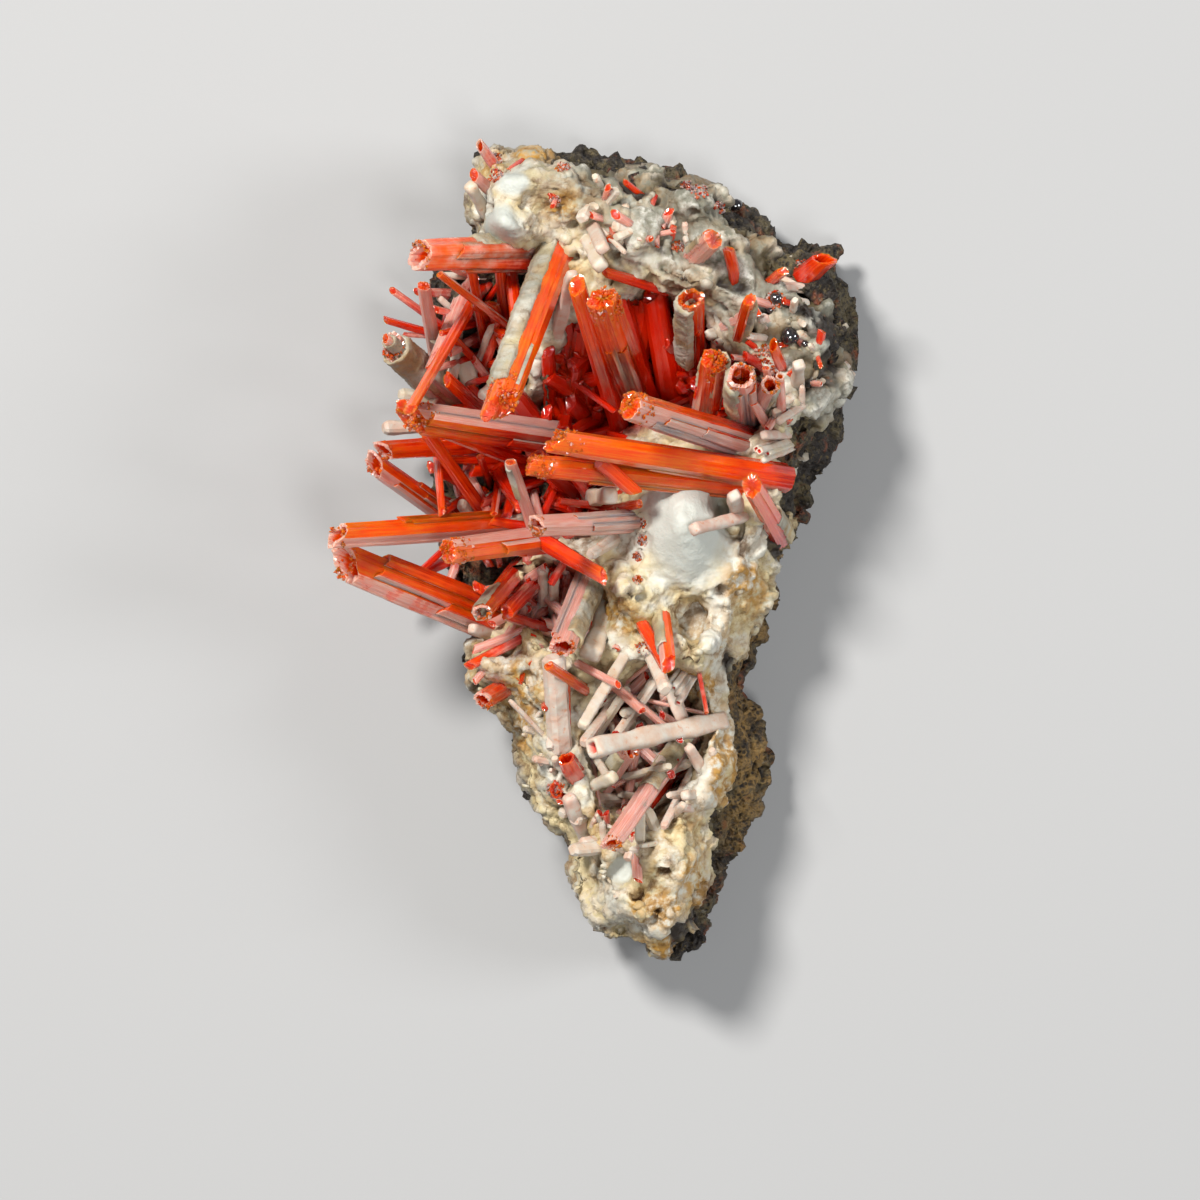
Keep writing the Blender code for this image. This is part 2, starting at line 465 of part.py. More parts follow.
def crystal_frame(root, tip, roll):
    """Axes at the root: Z along the crystal, X level and across it, turned by the roll."""
    along = (Vector(tip) - Vector(root)).normalized()
    across = Vector((0, 0, 1)).cross(along)
    across = across.normalized() if across.length > 1e-6 else Vector((1, 0, 0))
    turn = Matrix.Rotation(math.radians(roll), 3, along)
    across = turn @ across
    axes = Matrix((across, along.cross(across), along)).transposed().to_4x4()
    return Matrix.Translation(Vector(root) * MM) @ axes


def build_prism(length, width, thickness, hollow, grow=0.0):
    """A prism along local Z from 0 to its length, with a slanting or a hollow end."""

    def ring(z, share):
        corners = [(x * share, y * share) for x, y in section(width + 2 * grow, thickness + 2 * grow)]
        return [(x, y, z + TIP_SLANT * x * (z > 0)) for x, y in corners]

    rings = [ring(-grow, 1.0), ring(length + grow, TIP_TAPER)]
    if hollow and not grow:
        mouth = TIP_TAPER - 2 * HOLLOW_WALL
        rings.append(ring(length, mouth))
        rings.append(ring(length - HOLLOW_DEPTH * width, HOLLOW_FLOOR * mouth))
    bm = bmesh.new()
    rows = [[bm.verts.new(corner) for corner in corners] for corners in rings]
    for near, far in zip(rows, rows[1:]):
        for here, after in zip(range(len(near)), list(range(1, len(near))) + [0]):
            bm.faces.new((near[here], near[after], far[after], far[here]))
    bm.faces.new(rows[0][::-1])
    bm.faces.new(rows[-1])
    scale_to_metres(bm)
    return bm


def place_prism(name, row, look, grow=0.0, collection=None):
    """A prism of a table row, stood on its root and turned to its tip."""
    root, tip, width, thickness, roll, hollow = row
    length = (Vector(tip) - Vector(root)).length
    obj = add_object(name, build_prism(length, width, thickness, hollow, grow), look, collection)
    obj.matrix_world = crystal_frame(root, tip, roll)
    return obj


def look_of(node):
    if node in SHEATHED_NODES:
        return "sheathed"
    return "filmed" if node in FILMED_NODES else "crocoite"


def helper_collection(name):
    collection = bpy.data.collections.new(name)
    bpy.context.scene.collection.children.link(collection)
    return collection


def add_boolean(obj, name, operation, other=None, collection=None):
    """An exact Boolean with one other object, or with every object of a collection."""
    modifier = obj.modifiers.new(name, "BOOLEAN")
    modifier.operation = operation
    modifier.solver = "EXACT"
    if other is not None:
        modifier.object = other
    else:
        modifier.operand_type = "COLLECTION"
        modifier.collection = collection
    return modifier


def build_crystals(sockets):
    """One object for each node, its grown-together members joined by Booleans, and its sockets."""
    first = {}
    for node, *row in CRYSTALS:
        look = look_of(node)
        if node not in first:
            first[node] = place_prism(node, row, look)
        else:
            member = place_prism(f"{node}_member", row, look)
            make_helper(member)
            add_boolean(first[node], "grown_together", "UNION", other=member)
        socket = place_prism(f"{node}_socket", row, look, GAP, sockets)
        make_helper(socket)
    return first


def build_sheathed(collection):
    """Stubs of crystal that the crust covers whole."""
    for number, (root, tip, width) in enumerate(SHEATHED, 1):
        row = (root, tip, width, SHEATH_THICKNESS * width, SHEATH_ROLL, False)
        make_helper(place_prism(f"sheath_{number}", row, "sheathed", 0.0, collection))


def main():
    clear_scene()
    sockets = helper_collection("crystal_sockets")
    sheaths = helper_collection("sheathed_crystals")
    build_crystals(sockets)
    build_sheathed(sheaths)
    crust = add_object("gibbsite_crust", build_crust(), "crust")
    add_boolean(crust, "sheathed_crystals", "UNION", collection=sheaths)
    add_boolean(crust, "crystal_sockets", "DIFFERENCE", collection=sockets)
    room = add_object("crust_room", build_crust_room(), "crust")
    make_helper(room)
    rock = add_object("gossan_matrix", build_rock(), "gossan")
    add_boolean(rock, "crust_room", "DIFFERENCE", other=room)
    add_boolean(rock, "crystal_sockets", "DIFFERENCE", collection=sockets)


main()
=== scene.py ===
"""Crocoite on matrix, laid on its back: crocoite prisms on a gibbsite crust over gossan.

The frame gives every solid in metres. Shapes are worked out here in millimetres, in the
same axes, and each piece is brought to metres as its mesh is finished.
"""

import math
from collections import namedtuple

import bmesh
import bpy
import numpy as np
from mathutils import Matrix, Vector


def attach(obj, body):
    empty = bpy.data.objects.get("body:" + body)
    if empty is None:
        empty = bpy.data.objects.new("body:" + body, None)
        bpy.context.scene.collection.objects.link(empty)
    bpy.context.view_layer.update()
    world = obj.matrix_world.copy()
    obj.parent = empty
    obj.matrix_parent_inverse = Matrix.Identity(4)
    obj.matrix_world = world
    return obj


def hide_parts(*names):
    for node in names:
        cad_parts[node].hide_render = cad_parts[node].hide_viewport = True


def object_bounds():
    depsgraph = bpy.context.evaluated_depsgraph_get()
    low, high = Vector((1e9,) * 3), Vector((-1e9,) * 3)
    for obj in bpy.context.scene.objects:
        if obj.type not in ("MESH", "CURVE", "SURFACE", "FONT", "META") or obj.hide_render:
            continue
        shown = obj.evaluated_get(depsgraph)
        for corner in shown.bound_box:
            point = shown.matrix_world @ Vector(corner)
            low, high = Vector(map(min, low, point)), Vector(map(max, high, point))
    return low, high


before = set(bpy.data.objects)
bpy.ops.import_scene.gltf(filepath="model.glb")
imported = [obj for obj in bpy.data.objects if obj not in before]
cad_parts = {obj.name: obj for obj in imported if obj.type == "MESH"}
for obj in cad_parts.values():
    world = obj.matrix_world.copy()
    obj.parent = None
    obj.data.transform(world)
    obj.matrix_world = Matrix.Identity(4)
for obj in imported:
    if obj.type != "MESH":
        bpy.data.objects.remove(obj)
CAD_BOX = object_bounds()
MM = 0.001


# Camera, floor and light
# The specimen lies on a pale table under a long lens, which looks straight down on its front.
# The key light stands to the upper left, two weaker ones to the right and below, and a pale
# room fills in.

FRAME_WIDTH = 120.0  # millimetres across the picture, at the specimen's middle height
VIEW_CENTRE = (0.0, -4.8)
AIM_HEIGHT = 20.0
LENS = 200.0
SENSOR = 36.0
FLOOR_HALF = 2.5  # metres
FLOOR_GREY = (0.34, 0.34, 0.34, 1.0)
# Name, place and size in metres, power in watts, colour
LIGHTS = [
    ("key_light", (-0.30, 0.34, 0.70), 0.16, 10.4, (1.0, 0.98, 0.95)),
    ("side_light", (0.55, 0.05, 0.45), 0.22, 2.3, (0.96, 0.98, 1.0)),
    ("front_light", (0.10, -0.16, 0.80), 0.16, 2.4, (1.0, 1.0, 1.0)),
]
ROOM_COLOUR = (0.75, 0.77, 0.80, 1.0)
ROOM_STRENGTH = 0.20


def add_object(name, data):
    """An object of that name for the data, linked to the scene."""
    holder = bpy.data.objects.new(name, data)
    bpy.context.scene.collection.objects.link(holder)
    return holder


def place_camera():
    """Stands back from the middle height by the frame's width times lens over sensor."""
    camera = bpy.data.cameras.new("camera")
    camera.lens = LENS
    camera.sensor_width = SENSOR
    camera.clip_start = 0.01
    camera.clip_end = 10.0
    holder = add_object("camera", camera)
    back = FRAME_WIDTH * LENS / SENSOR
    holder.location = (VIEW_CENTRE[0] * MM, VIEW_CENTRE[1] * MM, (AIM_HEIGHT + back) * MM)
    bpy.context.scene.camera = holder


def lay_floor():
    """A wide flat sheet just under the specimen."""
    h = FLOOR_HALF
    corners = [(-h, -h, 0.0), (h, -h, 0.0), (h, h, 0.0), (-h, h, 0.0)]
    mesh = bpy.data.meshes.new("floor")
    mesh.from_pydata(corners, [], [(0, 1, 2, 3)])
    paper = bpy.data.materials.new("pale_paper")
    paper.use_nodes = True
    shader = paper.node_tree.nodes["Principled BSDF"]
    shader.inputs["Base Color"].default_value = FLOOR_GREY
    shader.inputs["Roughness"].default_value = 0.9
    mesh.materials.append(paper)
    floor = add_object("floor", mesh)


def hang_light(name, place, size, power, colour):
    """An area light that faces the specimen's middle."""
    light = bpy.data.lights.new(name, "AREA")
    light.shape = "DISK"
    light.size = size
    light.energy = power
    light.color = colour
    holder = add_object(name, light)
    holder.location = place
    back = holder.location.copy()
    back.z -= AIM_HEIGHT * MM
    holder.rotation_euler = back.to_track_quat("Z", "Y").to_euler()


place_camera()
lay_floor()
for light in LIGHTS:
    hang_light(*light)
room = bpy.data.worlds.new("room")
room.use_nodes = True
room.node_tree.nodes["Background"].inputs["Color"].default_value = ROOM_COLOUR
room.node_tree.nodes["Background"].inputs["Strength"].default_value = ROOM_STRENGTH
bpy.context.scene.world = room
bpy.context.scene.view_settings.view_transform = "Standard"


# Gossan matrix
# The host rock: iron and manganese oxides, brown-black, porous and rough, broken off flat at
# its back. It shows along the top and right rims, on the sides, and behind the left crystals.

ROCK_OUTLINE = [
    (-12.4, 40.4), (-8.0, 41.6), (-3.8, 41.9), (0.0, 40.4), (4.0, 40.3), (7.2, 39.7),
    (11.5, 37.5), (14.0, 35.7), (16.6, 34.0), (18.5, 31.8), (21.4, 31.7), (24.4, 31.4),
    (25.2, 28.2), (26.0, 25.2), (26.4, 20.7), (25.8, 16.2), (24.6, 12.2), (23.4, 8.7),
    (21.4, 5.6), (20.0, 3.6), (19.2, 0.6), (18.2, -1.4), (17.8, -4.0), (17.3, -7.3),
    (15.6, -9.8), (15.4, -13.8), (16.5, -17.3), (17.0, -20.8), (16.6, -23.8), (14.5, -27.3),
    (13.4, -29.6), (11.8, -31.3), (11.2, -34.8), (11.0, -38.8), (10.0, -40.5), (8.2, -41.2),
    (6.2, -40.7), (4.0, -39.0), (0.4, -38.4), (-1.0, -36.3), (-2.0, -33.3), (-2.2, -30.2),
    (-4.2, -27.7), (-6.6, -25.3), (-7.4, -21.8), (-8.6, -18.3), (-9.2, -15.6), (-12.0, -13.6),
    (-13.6, -11.4), (-13.2, -8.6), (-14.6, -4.8), (-16.2, -0.8), (-17.0, 3.2), (-16.8, 7.2),
    (-17.2, 11.2), (-17.0, 15.2), (-17.0, 18.8), (-16.6, 23.2), (-16.8, 27.2), (-14.4, 30.4),
    (-12.8, 33.0), (-13.0, 36.6),
]
# The part of it that the crust lies over
CRUST_OUTLINE = [
    (-11.6, 39.9), (-10.4, 40.6), (-8.8, 40.0), (-7.4, 40.7), (-5.6, 40.1), (-3.8, 39.6),
    (-1.0, 38.8), (2.5, 38.6),
    (6.0, 38.7), (9.6, 38.0), (12.4, 36.6), (14.6, 33.4), (17.6, 30.6), (20.4, 28.4),
    (23.0, 26.4), (24.6, 23.0), (24.8, 18.4), (24.2, 15.2), (21.8, 12.2), (19.6, 9.8),
    (18.8, 7.0), (18.8, 3.2), (18.9, 0.8), (17.6, -1.2), (16.8, -4.6), (15.4, -7.4),
    (14.6, -10.2), (12.8, -11.4), (12.6, -14.8), (13.6, -17.8), (13.8, -21.6), (12.6, -24.4),
    (11.4, -26.4), (11.2, -29.8), (10.8, -33.0), (10.2, -36.6), (9.2, -38.8), (6.8, -41.1),
    (4.8, -40.1), (3.2, -38.8), (1.4, -38.6), (0.2, -37.8), (-0.9, -35.8), (-2.1, -33.4),
    (-2.3, -31.0), (-3.4, -28.4), (-6.4, -25.6), (-7.2, -22.8), (-8.0, -19.2), (-9.0, -16.4),
    (-10.6, -14.6), (-13.4, -13.0), (-13.6, -9.8), (-10.0, -8.6), (-8.2, -4.8), (-7.0, 0.8),
    (-7.2, 7.0), (-7.4, 13.2), (-7.0, 19.0), (-6.4, 25.0), (-7.4, 28.8), (-10.4, 29.4),
    (-12.8, 32.0), (-13.2, 36.6),
]
SEAM_LEVEL = 6.2  # where the crust's underside lies in the rock
ROCK_CELL = 0.5
ROCK_VOXEL = 0.33
ROCK_FRAY = 0.5
FRAY_SIZE = 3.4
FLANGE_LEVEL = 7.6
RIM_LEVEL = 16.6
RIM_LINE, RIM_LEAN, RIM_SLOPE = -7.0, 0.1, 6.0
ROCK_EDGE_LEVEL = 6.5
SHOULDER, RIGHT_SHOULDER, LOW_SHOULDER = 1.5, 2.5, 2.5
BACK_EDGE_RISE = 4.6
BACK_EDGE_WIDTH = 3.4
BACK_FADE = 1.6
COVER_MARGIN = 2.0  # this far inside the crust's outline the rock is hidden
COVER_SINK = 0.4
WAVE_SIZE, WAVE_HEIGHT = 7.0, 1.7
RIDGE_SIZE, RIDGE_HEIGHT = 3.2, 2.3
LUMP_SIZE, LUMP_HEIGHT = 2.1, 1.1
PIT_RADIUS, PIT_SHARE, PIT_DEPTH = 0.46, 0.38, 1.8  # radius in cells of the lumps
POCK_SIZE, POCK_RADIUS, POCK_DEPTH = 1.0, 0.42, 0.6
GOSSAN_DARK = (0.020, 0.013, 0.008)
GOSSAN_OLIVE = (0.105, 0.080, 0.036)
GOSSAN_RUST = (0.17, 0.042, 0.012)
GOSSAN_OCHRE = (0.30, 0.175, 0.050)
GOSSAN_PALE = (0.26, 0.24, 0.18)
# Near black of the painted shade in pores and on the pits' floors
GOSSAN_PIT_SHADE = (0.008, 0.005, 0.004)
GOSSAN_SPECK = (0.20, 0.145, 0.055)


def smooth(t):
    """3t2 - 2t3 on the share t, held between 0 and 1."""
    t = np.clip(t, 0.0, 1.0)
    return t * t * (3.0 - 2.0 * t)


def within(outline, x, y):
    """True where a ray from the point crosses the outline an odd number of times."""
    found = np.zeros(x.shape, bool)
    for (x0, y0), (x1, y1) in zip(outline, outline[1:] + outline[:1]):
        if y0 != y1:
            crosses = (y0 > y) != (y1 > y)
            found ^= crosses & (x < (x1 - x0) * (y - y0) / (y1 - y0) + x0)
    return found


def edge_distance(outline, x, y):
    """Distance to the nearest side of the outline: to its foot, or to the side's near end."""
    best = np.full(x.shape, 1e9)
    for (x0, y0), (x1, y1) in zip(outline, outline[1:] + outline[:1]):
        dx, dy = x1 - x0, y1 - y0
        t = np.clip(((x - x0) * dx + (y - y0) * dy) / (dx * dx + dy * dy), 0.0, 1.0)
        best = np.minimum(best, np.hypot(x - x0 - t * dx, y - y0 - t * dy))
    return best


def corner_values(cells, seed):
    """A repeatable number from 0 to 1 for each whole-numbered lattice corner."""
    mixed = cells[..., 0] * 73856093 ^ cells[..., 1] * 19349663 ^ cells[..., 2] * 83492791
    mixed = (mixed ^ (seed * 2654435761)) & 0x7FFFFFFF
    mixed = (mixed ^ (mixed >> 13)) * 1274126177 & 0x7FFFFFFF
    mixed = (mixed ^ (mixed >> 11)) * 668265263 & 0x7FFFFFFF
    return (mixed >> 7 & 0xFFFF) / 65535.0


def soft_noise(points, cell, seed):
    """Random values on a cubic lattice, blended smoothly between its corners, from -1 to 1."""
    q = points / cell
    base = np.floor(q).astype(np.int64)
    f = smooth(q - base)
    total = np.zeros(len(points))
    for corner in np.ndindex(2, 2, 2):
        share = np.prod(np.where(corner, f, 1.0 - f), axis=1)
        total += share * corner_values(base + np.array(corner), seed)
    return 2.0 * total - 1.0


def rough_noise(points, cell, seed, octaves=4):
    """Soft noise at halving sizes and halving strengths."""
    return sum(soft_noise(points, cell / 2**n, seed + n) / 2**n for n in range(octaves)) / 1.9


def nearest_seeds(points, cell, seed):
    """Distances to the nearest and second nearest of the seeds, one seed in each cell of a
    lattice, in cells, and a random value that belongs to the nearest seed."""
    q = points / cell
    base = np.floor(q).astype(np.int64)
    first = np.full(len(points), 9.0)
    second = np.full(len(points), 9.0)
    owner = np.zeros(len(points))
    for shift in np.ndindex(3, 3, 3):
        home = base + np.array(shift) - 1
        offset = np.stack([corner_values(home, seed + axis) for axis in range(3)], axis=1)
        distance = np.linalg.norm(home + offset - q, axis=1)
        nearer = distance < first
        second = np.where(nearer, first, np.minimum(second, distance))
        first = np.where(nearer, distance, first)
        owner = np.where(nearer, corner_values(home, seed + 3), owner)
    return first, second, owner


def slab_shell(outline, cell, top_of, under_of, fray):
    """A closed block, as points and quads, over the cells of a square grid that lie inside
    the outline, which strays by the fray times noise. Its front is top_of(x, y), its underside
    is under_of(x, y), and walls stand round its border."""
    x0, y0 = np.min(outline, axis=0)
    x1, y1 = np.max(outline, axis=0)
    xs = np.arange(x0 - 2 * cell, x1 + 2 * cell, cell)
    ys = np.arange(y0 - 2 * cell, y1 + 2 * cell, cell)
    x, y = np.meshgrid(xs, ys)
    middle = np.stack([x[:-1, :-1] + cell / 2, y[:-1, :-1] + cell / 2, 0.0 * x[1:, 1:]], -1)
    middle = middle.reshape(-1, 3)
    stray_x = fray * rough_noise(middle, FRAY_SIZE, 5, 3)
    stray_y = fray * rough_noise(middle, FRAY_SIZE, 8, 3)
    kept = within(outline, middle[:, 0] + stray_x, middle[:, 1] + stray_y)
    kept = kept.reshape(x.shape[0] - 1, x.shape[1] - 1)
    number = np.arange(x.size).reshape(x.shape)
    a, b, c, d = number[:-1, :-1], number[:-1, 1:], number[1:, 1:], number[1:, :-1]
    top = np.stack([a, b, c, d], -1)[kept]
    under = np.stack([a, d, c, b], -1)[kept] + x.size
    padded = np.pad(kept, 1)
    faces = [top, under]
    sides = (
        (padded[:-2, 1:-1], a, b),
        (padded[1:-1, 2:], b, c),
        (padded[2:, 1:-1], c, d),
        (padded[1:-1, :-2], d, a),
    )
    for neighbour, start, stop in sides:
        wall = kept & ~neighbour
        faces.append(np.stack([start, start + x.size, stop + x.size, stop], -1)[wall])
    top_points = np.stack([x, y, top_of(x, y)], -1).reshape(-1, 3)
    under_points = np.stack([x, y, under_of(x, y)], -1).reshape(-1, 3)
    points = np.concatenate([top_points, under_points])
    faces = np.concatenate(faces)
    used, renumbered = np.unique(faces, return_inverse=True)
    return points[used], renumbered.reshape(faces.shape)


def voxel_skin(name, points, faces, voxel):
    """One closed skin of near-equal quads round a closed block."""
    mesh = bpy.data.meshes.new(name)
    mesh.from_pydata(points.tolist(), [], faces.tolist())
    piece = add_object(name, mesh)
    remesh = piece.modifiers.new("skin", "REMESH")
    remesh.mode = "VOXEL"
    remesh.voxel_size = voxel
    remesh.use_smooth_shade = True
    bpy.context.view_layer.update()
    evaluated = piece.evaluated_get(bpy.context.evaluated_depsgraph_get())
    skin = bpy.data.meshes.new_from_object(evaluated)
    piece.modifiers.clear()
    piece.data = skin
    skin.name = name
    bpy.data.meshes.remove(mesh)
    return piece


def read_points(mesh):
    """The mesh's points and their normals, as two arrays."""
    points = np.empty(len(mesh.vertices) * 3)
    mesh.vertices.foreach_get("co", points)
    normals = np.empty(len(mesh.vertices) * 3)
    mesh.vertex_normals.foreach_get("vector", normals)
    return points.reshape(-1, 3), normals.reshape(-1, 3)


def write_points(mesh, points):
    """Puts the points back, as an array of places."""
    mesh.vertices.foreach_set("co", points.ravel())
    mesh.update()


def flatten_hidden(mesh, hidden):
    """Takes away the faces whose corners are all hidden, and closes each hole with one face."""
    bm = bmesh.new()
    bm.from_mesh(mesh)
    faces = [f for f in bm.faces if all(hidden[v.index] for v in f.verts)]
    bmesh.ops.delete(bm, geom=faces, context="FACES")
    border = [e for e in bm.edges if e.is_boundary]
    bmesh.ops.holes_fill(bm, edges=border, sides=0)
    bmesh.ops.triangulate(bm, faces=[f for f in bm.faces if len(f.verts) > 4])
    bm.to_mesh(mesh)
    bm.free()


def store(mesh, name, values):
    """Keeps one number for each point, for the material to read."""
    attribute = mesh.attributes.new(name, "FLOAT", "POINT")
    attribute.data.foreach_set("value", np.ascontiguousarray(values, np.float32))


def stored(mesh, name):
    """Reads such numbers back."""
    values = np.empty(len(mesh.vertices), np.float32)
    mesh.attributes[name].data.foreach_get("value", values)
    return values


def keep_in_box(points):
    """Holds points inside the solids' box."""
    low = np.array(CAD_BOX[0]) / MM
    high = np.array(CAD_BOX[1]) / MM
    return np.clip(points, low, high)


def rock_front(x, y):
    """The flange behind the left-hand crystals, going over smoothly to the rims of the right,
    and falling to the edge over a shoulder that is widest at the lower right."""
    edge = edge_distance(ROCK_OUTLINE, x, y)
    right = smooth((x - RIM_LINE + RIM_LEAN * y) / RIM_SLOPE)
    middle = FLANGE_LEVEL + right * (RIM_LEVEL - FLANGE_LEVEL)
    shoulder = SHOULDER + right * (RIGHT_SHOULDER + LOW_SHOULDER * smooth(-y / 8.0))
    return ROCK_EDGE_LEVEL + (middle - ROCK_EDGE_LEVEL) * smooth(edge / shoulder)


def rock_back(x, y):
    """Level at the floor, and rising to the edge by the square of the nearness to it."""
    edge = edge_distance(ROCK_OUTLINE, x, y)
    return BACK_EDGE_RISE * (1.0 - smooth(edge / BACK_EDGE_WIDTH)) ** 2


class Shading:
    """A material's nodes, added one at a time, with plain names for the usual ones."""

    def __init__(self, name):
        self.material = bpy.data.materials.new(name)
        self.material.use_nodes = True
        self.nodes = self.material.node_tree.nodes
        self.links = self.material.node_tree.links
        self.shader = self.nodes["Principled BSDF"]

    def add(self, kind, inputs=(), **settings):
        """Adds a node; an input is a number, a colour or another node's output."""
        node = self.nodes.new(kind)
        for key, value in settings.items():
            setattr(node, key, value)
        for key, value in dict(inputs).items():
            self.put(node.inputs[key], value)
        return node

    def put(self, socket, value):
        """Links an output to the socket, or sets the socket's own colour or number."""
        if isinstance(value, bpy.types.NodeSocket):
            self.links.new(value, socket)
        elif isinstance(value, tuple) and len(value) == 3 and socket.type == "RGBA":
            socket.default_value = (*value, 1.0)
        else:
            socket.default_value = value

    def attribute(self, name):
        """The number that the mesh keeps for each point under that name."""
        return self.add("ShaderNodeAttribute", attribute_name=name).outputs["Fac"]

    def place(self):
        """Place in the object, in metres."""
        return self.add("ShaderNodeTexCoord").outputs["Object"]

    def stretch(self, where, scale):
        """Coordinates scaled along each axis."""
        return self.add("ShaderNodeMapping", {"Vector": where, "Scale": scale}).outputs["Vector"]

    def noise(self, where, scale, detail=4.0, roughness=0.55):
        """Fractal noise from 0 to 1; the scale is waves in a metre."""
        inputs = {"Vector": where, "Scale": scale, "Detail": detail, "Roughness": roughness}
        return self.add("ShaderNodeTexNoise", inputs).outputs["Fac"]

    def cells(self, where, scale):
        """Distance to the nearest of scattered seeds; the scale is seeds along a metre."""
        inputs = {"Vector": where, "Scale": scale}
        return self.add("ShaderNodeTexVoronoi", inputs).outputs["Distance"]

    def steps(self, value, low, high):
        """0 below low, 1 above high, smooth between, and the reverse if low is the higher."""
        inputs = {"Value": value, "From Min": low, "From Max": high}
        node = self.add("ShaderNodeMapRange", inputs, interpolation_type="SMOOTHSTEP")
        return node.outputs["Result"]

    def span(self, value, at_zero, at_one):
        """A straight line through the two values."""
        inputs = {"Value": value, "To Min": at_zero, "To Max": at_one}
        return self.add("ShaderNodeMapRange", inputs).outputs["Result"]

    def maths(self, operation, a, b=0.0):
        """One step of arithmetic."""
        return self.add("ShaderNodeMath", {0: a, 1: b}, operation=operation).outputs[0]

    def times(self, a, b):
        """a times b."""
        return self.maths("MULTIPLY", a, b)

    def plus(self, a, b):
        """a plus b."""
        return self.maths("ADD", a, b)

    def minus(self, a, b):
        """a less b."""
        return self.maths("SUBTRACT", a, b)

    def mix(self, share, first, second):
        """The first colour at share 0, the second at share 1."""
        node = self.add("ShaderNodeMix", data_type="RGBA")
        self.put(node.inputs["Factor"], share)
        self.put(node.inputs[6], first)
        self.put(node.inputs[7], second)
        return node.outputs[2]

    def bump(self, height, strength, distance, under=None):
        """The surface tilted by a height, on top of the bump under it."""
        inputs = {"Height": height, "Strength": strength, "Distance": distance}
        node = self.add("ShaderNodeBump", inputs)
        if under is not None:
            self.put(node.inputs["Normal"], under)
        return node.outputs["Normal"]

    def finish(self, **sockets):
        """Fills the shader's sockets, named with _ for a space, and gives the material."""
        for name, value in sockets.items():
            self.put(self.shader.inputs[name.replace("_", " ")], value)
        return self.material


def gossan_finish():
    """Brown-black oxides, olive where weathered, rust and ochre in patches, pores all over, and
    painted black shade in the pores and pits.
    """
    s = Shading("gossan")
    place = s.place()
    patches = s.noise(place, 190.0, 6.0, 0.62)
    grain = s.noise(place, 1500.0, 5.0, 0.7)
    pores = s.cells(place, 1100.0)
    blots = s.noise(place, 420.0, 5.0, 0.65)
    crumbs = s.cells(place, 2300.0)
    colour = s.mix(s.steps(patches, 0.44, 0.60), GOSSAN_DARK, GOSSAN_OLIVE)
    rusty = s.steps(s.noise(place, 330.0, 4.0, 0.6), 0.54, 0.66)
    colour = s.mix(rusty, colour, GOSSAN_RUST)
    ochre = s.times(s.attribute("ochre"), s.steps(blots, 0.34, 0.56))
    colour = s.mix(ochre, colour, GOSSAN_OCHRE)
    pale = s.steps(s.noise(place, 640.0, 4.0, 0.6), 0.62, 0.72)
    colour = s.mix(s.times(pale, 0.55), colour, GOSSAN_PALE)
    specks = s.steps(grain, 0.54, 0.66)
    colour = s.mix(s.times(specks, 0.6), colour, GOSSAN_SPECK)
    # Painted shade: black dots in porous patches, and black on the pits' floors
    porous = s.times(s.steps(s.noise(place, 800.0, 3.0, 0.6), 0.36, 0.58), 0.85)
    colour = s.mix(s.times(porous, s.steps(crumbs, 0.62, 0.30)), colour, GOSSAN_PIT_SHADE)
    colour = s.mix(s.steps(s.attribute("pit"), 0.1, 0.7), colour, GOSSAN_PIT_SHADE)
    rough = s.bump(grain, 0.8, 0.0005)
    rough = s.bump(crumbs, 0.7, 0.0004, rough)
    rough = s.bump(blots, 0.9, 0.0012, rough)
    rough = s.bump(pores, 0.6, 0.0005, rough)
    return s.finish(Base_Color=colour, Roughness=s.span(grain, 0.32, 0.90), Normal=rough)


def rock_relief(points):
    """How far the skin is pushed out: waves, ridges of folded noise, a lump at each seed of a
    lattice with a pit in some of them, and small pocks. Then how deep in a pit each point is."""
    waves = WAVE_HEIGHT * rough_noise(points, WAVE_SIZE, 11)
    ridges = 1.0 - np.abs(rough_noise(points, RIDGE_SIZE, 21))
    crags = waves + RIDGE_HEIGHT * (ridges - 0.75)
    near, _, owner = nearest_seeds(points, LUMP_SIZE, 31)
    lumps = LUMP_HEIGHT * np.sqrt(np.clip(1.0 - near**2, 0.0, 1.0)) * owner - 0.4
    pit = smooth((PIT_RADIUS - near) / 0.2) * (owner < PIT_SHARE)
    near, _, owner = nearest_seeds(points, POCK_SIZE, 41)
    pock = smooth((POCK_RADIUS - near) / 0.25) * (owner > 0.5)
    push = crags + lumps - PIT_DEPTH * pit - POCK_DEPTH * pock - 0.3
    return push, np.maximum(pit, 0.8 * pock)


def make_rock():
    """The block of the outline, its skin pushed out along its normals by the relief, which
    fades at the flat back; sunk and closed with plain faces where the crust hides it."""
    block = slab_shell(ROCK_OUTLINE, ROCK_CELL, rock_front, rock_back, ROCK_FRAY)
    rock = voxel_skin("gossan_rock", *block, ROCK_VOXEL)
    points, normals = read_points(rock.data)
    push, pit_shade = rock_relief(points)
    points = points + normals * (push * smooth(points[:, 2] / BACK_FADE))[:, None]
    points[:, 2] = np.maximum(points[:, 2], 0.0)
    x, y, z = points.T
    deep_in = edge_distance(CRUST_OUTLINE, x, y) > COVER_MARGIN
    covered = within(CRUST_OUTLINE, x, y) & deep_in
    hidden = (z < 0.05) | (covered & (normals[:, 2] > 0.5))
    right_side = smooth((x - 11.0) / 4.0) * smooth((2.0 - y) / 6.0)
    # Mark for the painted shade on the pits' floors
    store(rock.data, "pit", pit_shade)
    store(rock.data, "ochre", right_side * smooth((z - 3.0) / 6.0))
    points[covered, 2] = np.minimum(points[covered, 2], SEAM_LEVEL - COVER_SINK)
    write_points(rock.data, keep_in_box(points))
    flatten_hidden(rock.data, hidden)
    return rock


